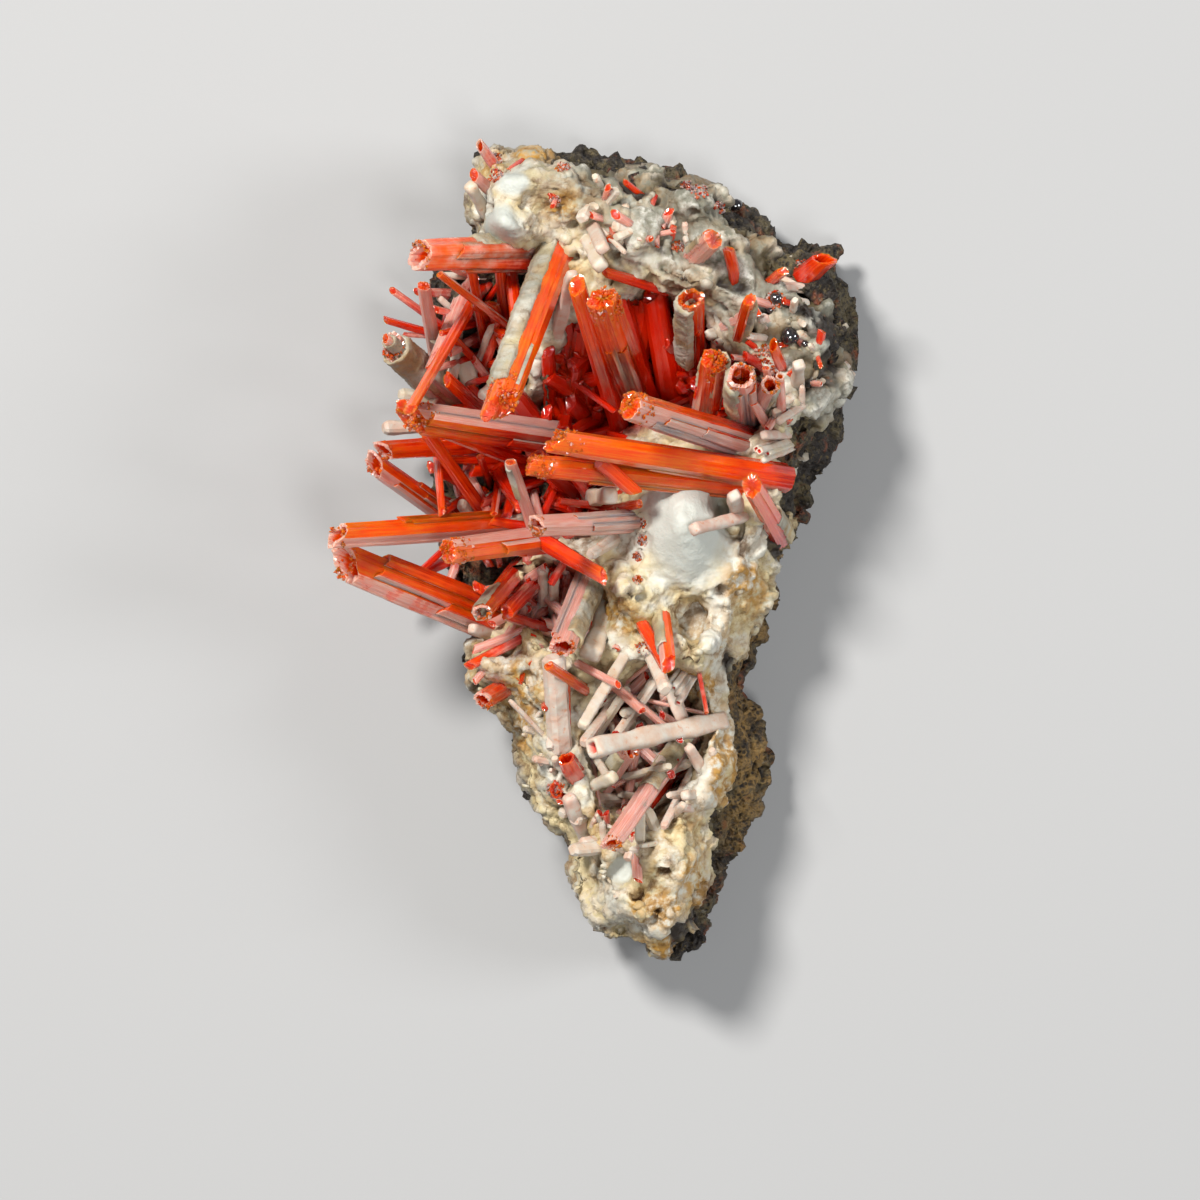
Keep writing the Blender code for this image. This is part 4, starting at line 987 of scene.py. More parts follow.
# Roll in degrees, film from 0 to 1, and the side whose faces carry the film. One whose film
# is 1 is sheathed. Those that share a node are grown together.
Prism = namedtuple("Prism", "node root tip width thickness roll end film facing")
CRYSTAL_ROWS = [
    ("top_left_beam", (-7.5, 30.1, 16.5), (-18.1, 29.4, 26.0), 3.6, 3.0, 12, "hollow", 0.48, ROUND),
    ("left_edge_prism", (-16.7, 19.6, 5.0), (-17.6, 26.6, 21.0), 1.6, 1.4, 40, "flat", 0.7, ROUND),
    ("left_bright_needle", (-8.4, 22.3, 10.0), (-15.9, 27.5, 26.0), 0.9, 0.8, 30, "flat", 0.7, UP),
    ("left_slender_prism", (-11.2, 18.6, 5.0), (-13.0, 28.8, 18.0), 1.2, 1.0, 35, "flat", 0.7, LEFT),
    ("left_crossed_pair", (-13.0, 28.4, 6.0), (-16.7, 18.6, 17.0), 1.8, 1.2, 10, "flat", 0.6, ROUND),
    ("left_crossed_pair", (-12.0, 27.2, 6.5), (-18.7, 13.9, 31.0), 1.4, 1.2, 45, "flat", 0.1, UP),
    ("left_red_needle", (-9.9, 16.6, 5.6), (-14.8, 21.8, 11.8), 1.0, 0.8, 40, "flat", 0.0, UP),
    ("left_glowing_prism", (-8.6, 17.0, 6.0), (-10.9, 25.2, 13.0), 1.5, 1.2, 15, "flat", 0.0, UP),
    ("left_upright_prism", (-9.4, 21.2, 6.0), (-10.1, 29.0, 16.5), 1.4, 1.2, 45, "flat", 0.5, LEFT),
    ("sleeved_giant", (-3.4, 32.7, 15.0), (-9.8, 14.2, 34.0), 3.8, 3.4, 35, "rough", 0.1, LEFT),
    ("left_sleeved_stub", (-15.0, 15.6, 6.0), (-20.8, 20.6, 20.0), 3.0, 2.4, 10, "hollow", 0.9, ROUND),
    ("left_sleeved_stub", (-17.8, 18.6, 15.0), (-21.4, 21.3, 22.0), 1.2, 1.0, 0, "flat", 0.9, ROUND),
    ("shadow_blade", (-10.8, 13.4, 6.0), (-15.4, 17.4, 16.0), 1.6, 1.0, 20, "flat", 0.0, UP),
    ("cream_column", (-12.6, 14.0, 6.0), (-13.9, 20.4, 8.6), 1.7, 1.5, 0, "flat", 1.0, ROUND),
    ("upper_left_twin", (0.0, 10.9, 7.5), (-18.8, 13.4, 27.5), 3.6, 2.8, 20, "rough", 0.75, ABOVE),
    ("upper_left_twin", (-5.2, 8.2, 7.0), (-18.6, 13.1, 26.8), 1.6, 1.4, 40, "flat", 0.6, DOWN),
    ("crossing_red_prism", (-10.3, 2.0, 6.0), (-17.5, 12.2, 21.5), 1.6, 1.3, 40, "flat", 0.0, UP),
    ("thin_upright_needle", (-16.9, 12.7, 6.0), (-15.8, 4.0, 20.5), 1.0, 0.8, 45, "flat", 0.1, UP),
    ("glassy_needle", (-10.3, 7.8, 6.0), (-10.6, 3.8, 21.0), 0.8, 0.6, 0, "flat", 0.7, RIGHT),
    ("inner_orange_prism", (-11.0, 9.0, 6.0), (-8.0, 4.6, 21.0), 1.5, 1.2, 30, "flat", 0.1, UP),
    ("left_v_pair", (-13.0, 1.9, 6.0), (-22.6, 8.9, 22.0), 2.4, 2.0, 30, "hollow", 0.95, DOWN),
    ("left_v_pair", (-10.2, 11.4, 6.0), (-21.7, 10.1, 22.0), 2.2, 1.8, 10, "hollow", 0.5, DOWN),
    ("left_long_prism", (-4.0, 3.2, 8.0), (-26.2, 1.5, 29.0), 2.8, 2.6, 5, "hollow", 0.95, DOWN),
    ("left_glowing_blade", (-7.2, -8.6, 7.0), (-25.5, -0.9, 25.0), 4.4, 2.6, 12, "hollow", 0.62, DOWN),
    ("cross_cluster", (0.0, 2.2, 10.0), (-15.0, -0.1, 31.0), 3.0, 2.6, 38, "rough", 0.95, UP),
    ("cross_cluster", (-6.5, 1.5, 19.5), (0.4, -2.5, 27.0), 1.8, 1.2, 20, "flat", 0.6, DOWN),
    ("cross_cluster", (-6.6, 2.2, 19.5), (-8.8, 8.8, 31.0), 1.4, 1.2, 40, "flat", 0.8, ROUND),
    ("pink_hollow_prism", (3.5, 3.1, 19.0), (-6.3, 2.4, 36.0), 2.4, 2.2, 5, "hollow", 0.9, ROUND),
    ("pale_stub", (-2.4, 5.4, 7.0), (1.1, 5.6, 25.0), 1.6, 1.4, 0, "flat", 1.0, ROUND),
    ("cream_finger", (-5.4, 18.2, 7.0), (-2.7, 27.4, 29.0), 1.2, 1.1, 20, "flat", 1.0, ROUND),
    ("central_giant", (4.9, 13.5, 7.0), (0.2, 24.9, 33.0), 3.8, 3.0, 15, "rough", 0.45, UP),
    ("central_giant", (2.4, 11.5, 7.0), (-2.3, 26.2, 31.0), 2.2, 2.0, 40, "flat", 0.0, UP),
    ("deep_red_wedge", (-3.0, 12.6, 7.0), (-1.5, 23.0, 17.0), 2.4, 1.8, 40, "flat", 0.0, UP),
    ("vug_back_prism", (-4.9, 13.4, 7.0), (-5.2, 20.2, 16.0), 1.6, 1.2, 30, "flat", 0.0, UP),
    ("orange_needle", (6.8, 26.3, 17.0), (0.4, 27.9, 22.0), 1.2, 0.9, 20, "flat", 0.1, UP),
    ("vug_shadow_needle", (3.4, 16.6, 7.0), (4.4, 25.2, 15.0), 1.2, 1.0, 40, "flat", 0.0, UP),
    ("sheathed_stub", (9.3, 17.8, 8.0), (9.0, 25.0, 29.0), 2.8, 2.4, 5, "hollow", 0.0, LEFT),
    ("orange_stub", (13.3, 18.6, 9.0), (14.8, 24.9, 28.0), 1.6, 1.4, 30, "flat", 0.0, RIGHT),
    ("rim_square_prism", (8.6, 28.8, 15.0), (11.2, 30.9, 27.0), 2.4, 2.2, 40, "flat", 0.6, ROUND),
    ("rim_shadow_prism", (14.8, 25.4, 12.0), (18.3, 28.0, 22.0), 1.2, 1.0, 30, "flat", 0.0, UP),
    ("hollow_pair", (14.8, 13.1, 9.0), (13.8, 17.2, 34.0), 3.4, 3.0, 25, "hollow", 0.7, ROUND),
    ("hollow_pair", (15.4, 13.3, 12.0), (16.8, 16.4, 30.0), 2.2, 2.0, 30, "hollow", 0.7, ROUND),
    ("capped_red_prism", (10.4, 10.8, 9.0), (11.3, 19.0, 28.0), 3.2, 2.6, 40, "rough", 0.1, UP),
    ("pink_giant", (16.8, 10.4, 13.0), (2.8, 14.2, 37.0), 3.5, 3.0, 20, "rough", 0.9, BELOW),
    ("striated_beam", (18.8, 7.5, 17.0), (-4.4, 10.8, 35.0), 2.8, 2.6, 30, "rough", 0.15, UP),
    ("striated_beam", (16.0, 6.5, 18.0), (-6.9, 8.4, 32.5), 2.4, 2.2, 20, "rough", 0.2, DOWN),
    ("striated_beam", (0.0, 8.8, 30.0), (3.3, 6.0, 27.5), 1.8, 1.4, 40, "flat", 0.0, UP),
    ("flame_red_prism", (18.4, 1.6, 13.0), (15.0, 6.6, 27.0), 2.6, 2.2, 35, "flat", 0.0, UP),
    ("glossy_hollow_prism", (-7.6, -0.8, 6.0), (-11.7, -6.1, 27.0), 2.2, 2.0, 20, "hollow", 0.5, LEFT),
    ("shaded_hollow_prism", (-5.1, -1.4, 7.0), (-9.3, -6.0, 21.0), 1.9, 1.6, 30, "flat", 0.0, UP),
    ("lower_left_bar", (-3.2, -8.4, 8.0), (-9.5, -6.3, 18.5), 1.3, 1.1, 40, "flat", 0.8, DOWN),
    ("striped_stub", (-6.6, -11.8, 9.0), (-11.8, -14.9, 20.0), 2.2, 1.8, 15, "hollow", 0.45, ROUND),
    ("pale_hollow_prism", (-0.6, -2.0, 12.0), (-3.7, -9.6, 27.0), 3.0, 2.4, 10, "hollow", 0.85, ROUND),
    ("pale_side_prism", (1.2, -4.6, 12.0), (-1.0, -10.3, 22.0), 2.0, 1.6, 0, "flat", 1.0, ROUND),
    ("bright_orange_bar", (3.8, -17.4, 7.0), (-5.1, -11.3, 27.0), 1.2, 1.0, 30, "flat", 0.0, UP),
    ("pale_diagonal", (3.6, -8.6, 16.5), (-1.8, -17.3, 28.0), 1.1, 1.0, 10, "flat", 1.0, ROUND),
    ("shelf_prism", (5.9, -4.2, 17.0), (6.8, -11.2, 27.0), 2.0, 1.6, 45, "flat", 0.95, LEFT),
    ("vug_needle", (5.6, -10.0, 12.0), (8.4, -17.0, 16.5), 1.2, 1.0, 20, "flat", 1.0, ROUND),
    ("pale_crossbar", (12.4, -17.0, 14.5), (-0.8, -19.4, 29.0), 1.9, 1.6, 10, "hollow", 1.0, ROUND),
    ("long_pale_prism", (10.2, -16.6, 9.0), (1.1, -29.0, 28.0), 2.2, 1.8, 20, "hollow", 0.85, ROUND),
    ("long_pale_prism", (4.0, -25.0, 22.6), (4.0, -29.0, 20.5), 1.0, 0.9, 0, "flat", 1.0, ROUND),
    ("pale_strut", (12.4, -25.4, 12.0), (8.8, -19.4, 19.5), 1.1, 1.0, 10, "flat", 1.0, ROUND),
    ("pink_vug_prism", (-0.6, -24.8, 11.0), (3.0, -19.6, 19.0), 2.2, 1.8, 10, "hollow", 0.7, ROUND),
    ("red_vug_prism", (9.2, -20.2, 7.0), (4.1, -26.4, 17.0), 1.4, 1.2, 40, "flat", 0.0, UP),
]
CRYSTALS = [Prism(*row) for row in CRYSTAL_ROWS]
SECTION_CORNER = 0.30
TIP_TAPER = 0.92
TIP_SLANT = 0.55
RING_SPACING = 0.7
# Shares of the width: how far a striation is cut, and how much it varies
NOTCH, NOTCH_GRAIN, LATE_NOTCH = 0.045, 0.006, 0.030
DRIFT = 0.012
BREAK_WAVE = 0.16
LIP_GRAIN = 0.030
# How far the strips of each end break off unevenly, in widths
END_JAGS = {"flat": 0.06, "hollow": 0.12, "rough": 0.14}
# The rings beyond the edge of each end: share of the edge's width, and depth in widths
END_RINGS = {
    "flat": [(0.80, 0.03), (0.35, 0.05)],
    "hollow": [(0.72, 0.02), (0.60, 0.75), (0.34, 0.95)],
    "rough": [(0.90, -0.02), (0.76, -0.05), (0.61, -0.05), (0.46, -0.03), (0.31, 0.0),
              (0.15, 0.03)],
}
# Painted glow: a prism is painted brighter from its root up to this length
GLOW_LENGTH = 9.0  # from the root to full glow
# What the vugs' painted shade takes from the painted glow, and the levels where it is full and where it
# ends
VUG_SHADE = 1.8
SHADE_LOW, SHADE_HIGH = 18.0, 35.0
SHEATH_SPACING = 0.35
SHEATH_SQUARENESS = 5.0  # 2 is a circle, more is squarer
SHEATH_LUMPS, SHEATH_LUMP_SIZE = 0.09, 0.9
SHEATH_GRAIN, SHEATH_GRAIN_SIZE = 0.06, 0.4
SHEATH_NOSE = 0.12  # widths
SHEATH_RINGS = [(0.70, 0.02), (0.55, 0.5), (0.30, 0.65)]
COMPANIONS = 3
COMPANION_WIDTH = 2.3  # prisms at least this wide have companions
COMPANION_OFFSET = 0.34  # of their axes from the large one's, in its widths
COMPANION_LENGTHS = (0.45, 0.96)
COMPANION_WIDTHS = (0.35, 0.55)
# The red end is reached through painted shade and the glow end through painted glow, besides the streaks
CROCOITE_GLOW = (1.0, 0.17, 0.006)
CROCOITE_ORANGE = (0.98, 0.075, 0.002)
CROCOITE_RED = (0.62, 0.013, 0.0006)
FILM_PINK = (0.54, 0.27, 0.215)
FILM_WHITE = (0.60, 0.44, 0.39)
SHEATH_PINK = (0.52, 0.32, 0.25)
SHEATH_CREAM = (0.50, 0.42, 0.29)
SHEATH_WHITE = (0.54, 0.50, 0.43)
SHEATH_SPOTS = (0.50, 0.16, 0.05)


def shade_of_vugs(points):
    """1 down in a vug, fading out over its rim and up to the level of the front prisms."""
    x, y, z = points[..., 0], points[..., 1], points[..., 2]
    return nearness(VUGS, x, y, 0.8, 0.9) * smooth((SHADE_HIGH - z) / (SHADE_HIGH - SHADE_LOW))


def crystal_axes(root, tip, roll):
    """The length, and unit vectors across, beside and along, the first two turned by roll."""
    along = np.subtract(tip, root)
    length = np.linalg.norm(along)
    along = along / length
    across = np.cross((0.0, 0.0, 1.0), along)
    across = across / max(np.linalg.norm(across), 1e-9)
    beside = np.cross(along, across)
    c, s = math.cos(math.radians(roll)), math.sin(math.radians(roll))
    return length, (c * across + s * beside, c * beside - s * across, along)


def in_place(root, axes, x, y, z):
    """The root plus x across, y beside and z along."""
    across, beside, along = axes
    return (np.asarray(root) + x[..., None] * across + y[..., None] * beside
            + z[..., None] * along)


def towards(facing, outward, axes):
    """Cosine between each outward direction of a section and a side; 1 where it is all round."""
    if facing is ROUND:
        return np.ones(len(outward))
    looks = outward[:, :1] * axes[0] + outward[:, 1:] * axes[1]
    return looks @ (np.array(facing) / np.linalg.norm(facing))


def prism_section(width, thickness, on_long, on_short):
    """The blunt rhombus across a crystal: four long sides and four short corners, each cut in
    equal steps, with the outward direction of the side at each point."""
    a, b, c = width / 2, thickness / 2, SECTION_CORNER
    corners = np.array([
        (a, -b * c), (a, b * c), (a * c, b), (-a * c, b),
        (-a, b * c), (-a, -b * c), (-a * c, -b), (a * c, -b),
    ])
    points, outward = [], []
    for number in range(8):
        start, stop = corners[number], corners[(number + 1) % 8]
        side = stop - start
        count = on_long if number % 2 else on_short
        points.append(start + np.arange(count)[:, None] / count * side)
        facing = np.array([side[1], -side[0]]) / np.linalg.norm(side)
        outward.append(np.repeat(facing[None], count, axis=0))
    return np.concatenate(points), np.concatenate(outward)


def strips(rng, columns, each):
    """A random number for each strip, of that many neighbouring points of a section."""
    return np.repeat(rng.random((columns + each - 1) // each), each)[:columns]


def add_end(x, y, z, edge, rings, grain):
    """Rings drawn in from a tube's last one, each to its share and its depth below the edge,
    with that ring's grain."""
    last = len(x) - 1
    for (share, depth), rough in zip(rings, grain):
        x = np.vstack([x, x[last] * share])
        y = np.vstack([y, y[last] * share])
        z = np.vstack([z, edge - depth + rough])
    return x, y, z


def tube(rings, girth, spacing, marks):
    """A closed tube through rings of points, an array of rings by points by 3, as a surface.
    A pole closes each end at the mean of its ring."""
    rows, columns, _ = rings.shape
    poles = np.stack([rings[0].mean(axis=0), rings[-1].mean(axis=0)])
    faces, u, v = tube_faces(rows, columns)
    rail = np.concatenate([[0.0], np.cumsum(spacing)])
    values = {name: np.concatenate([ring.ravel(), [ring[0].mean(), ring[-1].mean()]])
              for name, ring in marks.items()}
    return {
        "points": keep_in_box(np.concatenate([rings.reshape(-1, 3), poles])),
        "faces": faces,
        "uv": np.stack([u * girth, rail[v]], -1),
        "marks": values,
    }


def striated_sides(section, outward, width, s, rng):
    """The section at each share s of the length. It is notched by striations, most of which
    keep their place and some of which start late, it steps in a little where a layer of growth
    ends, and it drifts to and fro."""
    columns = len(section)
    notch = NOTCH * width * (strips(rng, columns, 3) - 0.5)
    notch = notch + NOTCH_GRAIN * width * (rng.random(columns) - 0.5)
    late = LATE_NOTCH * width * (strips(rng, columns, 3) - 0.5)
    stops = strips(rng, columns, 3)
    terraces = sum(rng.uniform(0.0, 0.03) * smooth((s - at) / 0.04) for at in rng.random(4))
    share = 1.0 - (1.0 - TIP_TAPER) * s - terraces
    push = notch * np.ones_like(s) + late * (s > stops)
    drift = DRIFT * width * np.sin(6.0 * s + rng.uniform(0.0, 6.0))
    x = section[:, 0] * share + outward[:, 0] * push + drift
    return x, section[:, 1] * share + outward[:, 1] * push


def crystal_surface(prism, seed, on_long=9, on_short=3):
    """A prism in rings along its axis, striated on its sides. Each strip breaks off at its own
    height, on a slant, and the rings of its end turn in. A ring near the end never passes it.
    Marks for the finish: the film on the faces turned to its side and on a hollow's rim, the
    inside of the end, which is painted in darker shade, and a painted glow that grows from the
    root, less painted shade in a vug."""
    rng = np.random.default_rng(seed)
    width, end = prism.width, prism.end
    length, axes = crystal_axes(prism.root, prism.tip, prism.roll)
    section, outward = prism_section(width, prism.thickness, on_long, on_short)
    columns = len(section)
    count = max(6, int(length / RING_SPACING))
    s = np.linspace(0.0, 1.0, count)[:, None]
    x, y = striated_sides(section, outward, width, s, rng)

    breaks = END_JAGS[end] * width * strips(rng, columns, 2)
    turn = np.arctan2(section[:, 1], section[:, 0])
    breaks = breaks + BREAK_WAVE * width * (end != "flat") * np.sin(turn + rng.uniform(0.0, 6.0))
    slant = TIP_SLANT * section[:, 0] * rng.choice([-1.0, 1.0])
    edge = length + slant - breaks
    z = np.minimum(s * length, edge - 0.02 * (count - 1 - np.arange(count)[:, None]))
    z[-1] = edge
    rings = [(share, depth * width) for share, depth in END_RINGS[end]]
    grain = rng.standard_normal((len(rings), columns))
    x, y, z = add_end(x, y, z, edge, rings, LIP_GRAIN * width * grain * (end != "flat"))
    points = in_place(prism.root, axes, x, y, z)

    lit = smooth(6.0 * (towards(prism.facing, outward, axes) - 0.4))
    film = np.broadcast_to(prism.film * lit, x.shape).copy()
    film[count:] = 0.0
    if end == "hollow":
        film[count - 1:count + 1] = np.maximum(film[count - 1:count + 1], 0.8 * (prism.film > 0.3))
    inner = np.zeros(x.shape)
    inner[count + 1:] = 1.0
    up_to = np.minimum(np.arange(len(x))[:, None] / (count - 1), 1.0)
    marks = {
        "film": film,
        "inner": inner,
        # Painted glow from the root, less painted shade in the vugs
        "glow": smooth(up_to * length / GLOW_LENGTH) - VUG_SHADE * shade_of_vugs(points),
        "tone": np.full(x.shape, rng.random()),
    }
    spacing = np.full(len(x) - 1, length / (count - 1))
    return tube(points, 2.0 * (width + prism.thickness), spacing, marks)


def sheath_surface(prism, seed, columns=28):
    """A lumpy rod, between a square and a circle across, swollen here and there in waves and
    pushed out from its axis by noise, with a round or a hollow end."""
    rng = np.random.default_rng(seed)
    width, thickness = prism.width, prism.thickness
    hollow = prism.end == "hollow"
    length, axes = crystal_axes(prism.root, prism.tip, prism.roll)
    angle = np.linspace(0.0, 2.0 * math.pi, columns, endpoint=False)
    power = SHEATH_SQUARENESS
    squarish = np.abs(np.cos(angle)) ** power + np.abs(np.sin(angle)) ** power
    squarish = 1.0 / squarish ** (1 / power)
    count = max(8, int(length / SHEATH_SPACING))
    s = np.linspace(0.0, 1.0, count)[:, None]
    into_nose = 1.0 - np.clip((1.0 - s) * length / (SHEATH_NOSE * width), 0.0, 1.0)
    round_off = np.sqrt(np.clip(1.0 - into_nose**2, 0.5, 1.0))
    if hollow:
        round_off = np.maximum(round_off, 0.85)
    swell = 1.0 + 0.10 * np.sin(s * length * 0.9 + rng.uniform(0.0, 6.0)) * (rng.random() < 0.6)
    x = np.cos(angle) * squarish * width / 2 * round_off * swell
    y = np.sin(angle) * squarish * thickness / 2 * round_off * swell
    z = s * length + 0.0 * x
    if hollow:
        rings = [(share, depth * width) for share, depth in SHEATH_RINGS]
        x, y, z = add_end(x, y, z, z[-1], rings, np.zeros(len(rings)))
    points = in_place(prism.root, axes, x, y, z)
    flat = points.reshape(-1, 3)
    lumps = SHEATH_LUMPS * rough_noise(flat, SHEATH_LUMP_SIZE, seed % 97, 3)
    lumps = lumps + SHEATH_GRAIN * rough_noise(flat, SHEATH_GRAIN_SIZE, 7, 2)
    away = flat - (np.asarray(prism.root) + z.reshape(-1, 1) * axes[2])
    away = away / np.maximum(np.linalg.norm(away, axis=1, keepdims=True), 1e-6)
    points = (flat + away * (lumps * min(1.0, width))[:, None]).reshape(points.shape)
    inner = np.zeros(x.shape)
    inner[count + 1:] = 1.0
    spacing = np.full(len(x) - 1, length / (count - 1))
    marks = {"inner": inner, "tone": np.full(x.shape, rng.random())}
    return tube(points, 2.0 * (width + thickness), spacing, marks)


def join_surfaces(name, groups, smooth_shade):
    """One mesh from groups of surfaces, each group with its own material."""
    points, faces, uv, slots, values = [], [], [], [], {}
    total = 0
    surfaces = [(surface, slot) for slot, (_, group) in enumerate(groups) for surface in group]
    names = sorted({mark for surface, _ in surfaces for mark in surface["marks"]})
    for surface, slot in surfaces:
        points.append(surface["points"] * MM)
        faces.extend([[corner + total for corner in face] for face in surface["faces"]])
        uv.append(surface["uv"])
        slots.extend([slot] * len(surface["faces"]))
        for mark in names:
            blank = np.zeros(len(surface["points"]))
            values.setdefault(mark, []).append(surface["marks"].get(mark, blank))
        total += len(surface["points"])
    mesh = bpy.data.meshes.new(name)
    mesh.from_pydata(np.concatenate(points).tolist(), [], faces)
    layer = mesh.uv_layers.new(name="lengthwise")
    layer.uv.foreach_set("vector", np.concatenate(uv).ravel())
    for mark in names:
        store(mesh, mark, np.concatenate(values[mark]))
    for material, _ in groups:
        mesh.materials.append(material)
    mesh.polygons.foreach_set("material_index", slots)
    mesh.polygons.foreach_set("use_smooth", [smooth_shade] * len(mesh.polygons))
    mesh.update()
    piece = add_object(name, mesh)
    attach(piece, "root")
    return piece


def crocoite_finish():
    """Clear orange-red that light goes into, with painted light and shade: painted deep red shade
    near the root, inside hollow ends and down in the vugs, and painted bright orange glow towards
    the tip and higher up. Streaked along its length, with a polished coat. Where a film lies it
    is pink, dull and no longer clear."""
    s = Shading("crocoite")
    place = s.place()
    lengthwise = s.add("ShaderNodeUVMap", uv_map="lengthwise").outputs["UV"]
    streaks = s.noise(s.stretch(lengthwise, (3.2, 0.16, 1.0)), 1.0, 4.0, 0.6)
    scratches = s.noise(s.stretch(lengthwise, (12.0, 0.3, 1.0)), 1.0, 3.0, 0.6)
    clouds = s.noise(place, 420.0, 3.0, 0.5)
    # Painted light: brighter orange higher up, redder lower down
    height = s.add("ShaderNodeSeparateXYZ", {"Vector": place}).outputs["Z"]
    lit = s.times(s.steps(height, 0.009, 0.030), 0.40)
    bright = s.plus(s.times(s.attribute("glow"), 0.20), streaks)
    bright = s.plus(s.plus(bright, lit), s.times(clouds, 0.5))
    colour = s.mix(s.steps(bright, 0.80, 1.14), CROCOITE_RED, CROCOITE_ORANGE)
    colour = s.mix(s.steps(bright, 1.12, 1.48), colour, CROCOITE_GLOW)
    # Painted shade: darker red inside hollow ends
    colour = s.mix(s.times(s.attribute("inner"), 0.6), colour, CROCOITE_RED)
    worn = s.plus(s.attribute("film"), s.times(streaks, 0.15))
    film = s.steps(s.plus(worn, s.times(clouds, 0.6)), 0.78, 1.00)
    dust = s.mix(s.steps(scratches, 0.42, 0.62), FILM_PINK, FILM_WHITE)
    colour = s.mix(s.times(film, 0.85), colour, dust)
    rough = s.bump(streaks, 0.40, 0.00020)
    rough = s.bump(scratches, 0.15, 0.00006, rough)
    return s.finish(
        Base_Color=colour,
        Roughness=s.span(film, 0.07, 0.36),
        Normal=rough,
        IOR=1.75,
        Subsurface_Weight=0.9,
        Subsurface_Radius=(1.0, 0.6, 0.4),
        Subsurface_Scale=0.0014,
        Transmission_Weight=s.span(film, 0.25, 0.03),
        Coat_Weight=s.span(film, 0.7, 0.0),
        Coat_Roughness=0.03,
    )


def sheath_finish():
    """Pinkish white to cream with orange spots, chalky, with the red crystal showing in a
    hollow end."""
    s = Shading("pale_sheath")
    place = s.place()
    clouds = s.noise(place, 700.0, 4.0, 0.6)
    grain = s.noise(place, 2400.0, 3.0, 0.6)
    colour = s.mix(s.attribute("tone"), SHEATH_PINK, SHEATH_CREAM)
    colour = s.mix(s.steps(clouds, 0.30, 0.72), colour, SHEATH_WHITE)
    spots = s.steps(s.noise(place, 1500.0, 3.0, 0.6), 0.60, 0.70)
    colour = s.mix(s.times(spots, 0.5), colour, SHEATH_SPOTS)
    colour = s.mix(s.attribute("inner"), colour, CROCOITE_RED)
    rough = s.bump(clouds, 0.3, 0.0002)
    rough = s.bump(grain, 0.2, 0.0001, rough)
    return s.finish(
        Base_Color=colour,
        Roughness=0.5,
        Normal=rough,
        Subsurface_Weight=0.25,
        Subsurface_Radius=(1.0, 0.6, 0.4),
        Subsurface_Scale=0.0008,
    )


def companions(prism, seed):
    """Thinner prisms that run along a large one, half sunk in it, and end short of its tip."""
    rng = np.random.default_rng(seed)
    _, (across, beside, _) = crystal_axes(prism.root, prism.tip, prism.roll)
    rows = []
    for angle in rng.uniform(0.0, 2.0 * math.pi, COMPANIONS):
        aside = COMPANION_OFFSET * (prism.width * math.cos(angle) * across
                                  + prism.thickness * math.sin(angle) * beside)
        start = np.asarray(prism.root) + aside
        stop = start + rng.uniform(*COMPANION_LENGTHS) * np.subtract(prism.tip, prism.root)
        slim = rng.uniform(*COMPANION_WIDTHS) * prism.width
        rows.append(prism._replace(root=start, tip=stop, width=slim, thickness=0.9 * slim,
                                   end="flat"))
    return rows


crocoite = crocoite_finish()
pale_sheath = sheath_finish()
crystals = {}
for number, prism in enumerate(CRYSTALS):
    bare, sheathed = crystals.setdefault(prism.node, ([], []))
    if prism.film >= 1.0:
        sheathed.append(sheath_surface(prism, 300 + number))
        continue
    bare.append(crystal_surface(prism, 300 + number))
    if prism.width >= COMPANION_WIDTH:
        slim_ones = companions(prism, 700 + number)
        bare += [crystal_surface(slim, 400 + number, 5, 2) for slim in slim_ones]
for node, (bare, sheathed) in crystals.items():
    groups = [pair for pair in ((crocoite, bare), (pale_sheath, sheathed)) if pair[1]]
    piece = join_surfaces(f"crystal_{node}", groups, not bare)
    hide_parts(node)


# Gibbsite sleeves
# Thick white and cream crust that grew on one side of some prisms, or round them, in lumps.
# It is part of the same growth as the crust, and each sleeve is fixed to its prism.

# Node, which of its prisms, covered side, from and to as shares of the length, thickness
SLEEVES = [
    ("top_left_beam", 0, UP, 0.0, 0.5, 0.40),
    ("sleeved_giant", 0, (-1.0, 0.1, -0.1), 0.0, 0.92, 0.60),
    ("left_sleeved_stub", 0, ROUND, 0.0, 0.97, 0.40),
    ("left_sleeved_stub", 1, ROUND, 0.0, 0.95, 0.20),
    ("cross_cluster", 2, LEFT, 0.5, 0.98, 0.15),
    ("sheathed_stub", 0, (-1.0, 0.1, 0.0), 0.25, 0.97, 0.50),
    ("orange_stub", 0, (1.0, 0.1, -0.2), 0.2, 0.94, 0.40),
    ("rim_square_prism", 0, UP, 0.0, 0.9, 0.30),
    ("hollow_pair", 0, (-1.0, 0.2, -0.1), 0.2, 0.95, 0.50),
    ("hollow_pair", 1, (1.0, 0.6, -0.2), 0.3, 0.92, 0.22),
    ("capped_red_prism", 0, (0.0, 1.0, 0.3), 0.66, 0.96, 0.50),
    ("flame_red_prism", 0, (0.8, 0.8, 0.0), 0.0, 0.4, 0.30),
    ("glossy_hollow_prism", 0, (-1.0, 0.2, 0.0), 0.6, 1.0, 0.12),
    ("pale_hollow_prism", 0, (1.0, -0.2, 0.0), 0.1, 0.9, 0.30),
    ("pink_vug_prism", 0, LEFT, 0.0, 0.9, 0.25),
    ("shelf_prism", 0, LEFT, 0.0, 0.8, 0.30),
    ("long_pale_prism", 0, UP, 0.05, 0.6, 0.18),
]
SLEEVE_COLUMNS = 44
SLEEVE_SPACING = 0.22
SLEEVE_INSET = 0.05  # how far inside the prism's section it starts, as a share
SLEEVE_LUMP_SIZE, SLEEVE_LUMPS = 1.9, 0.55
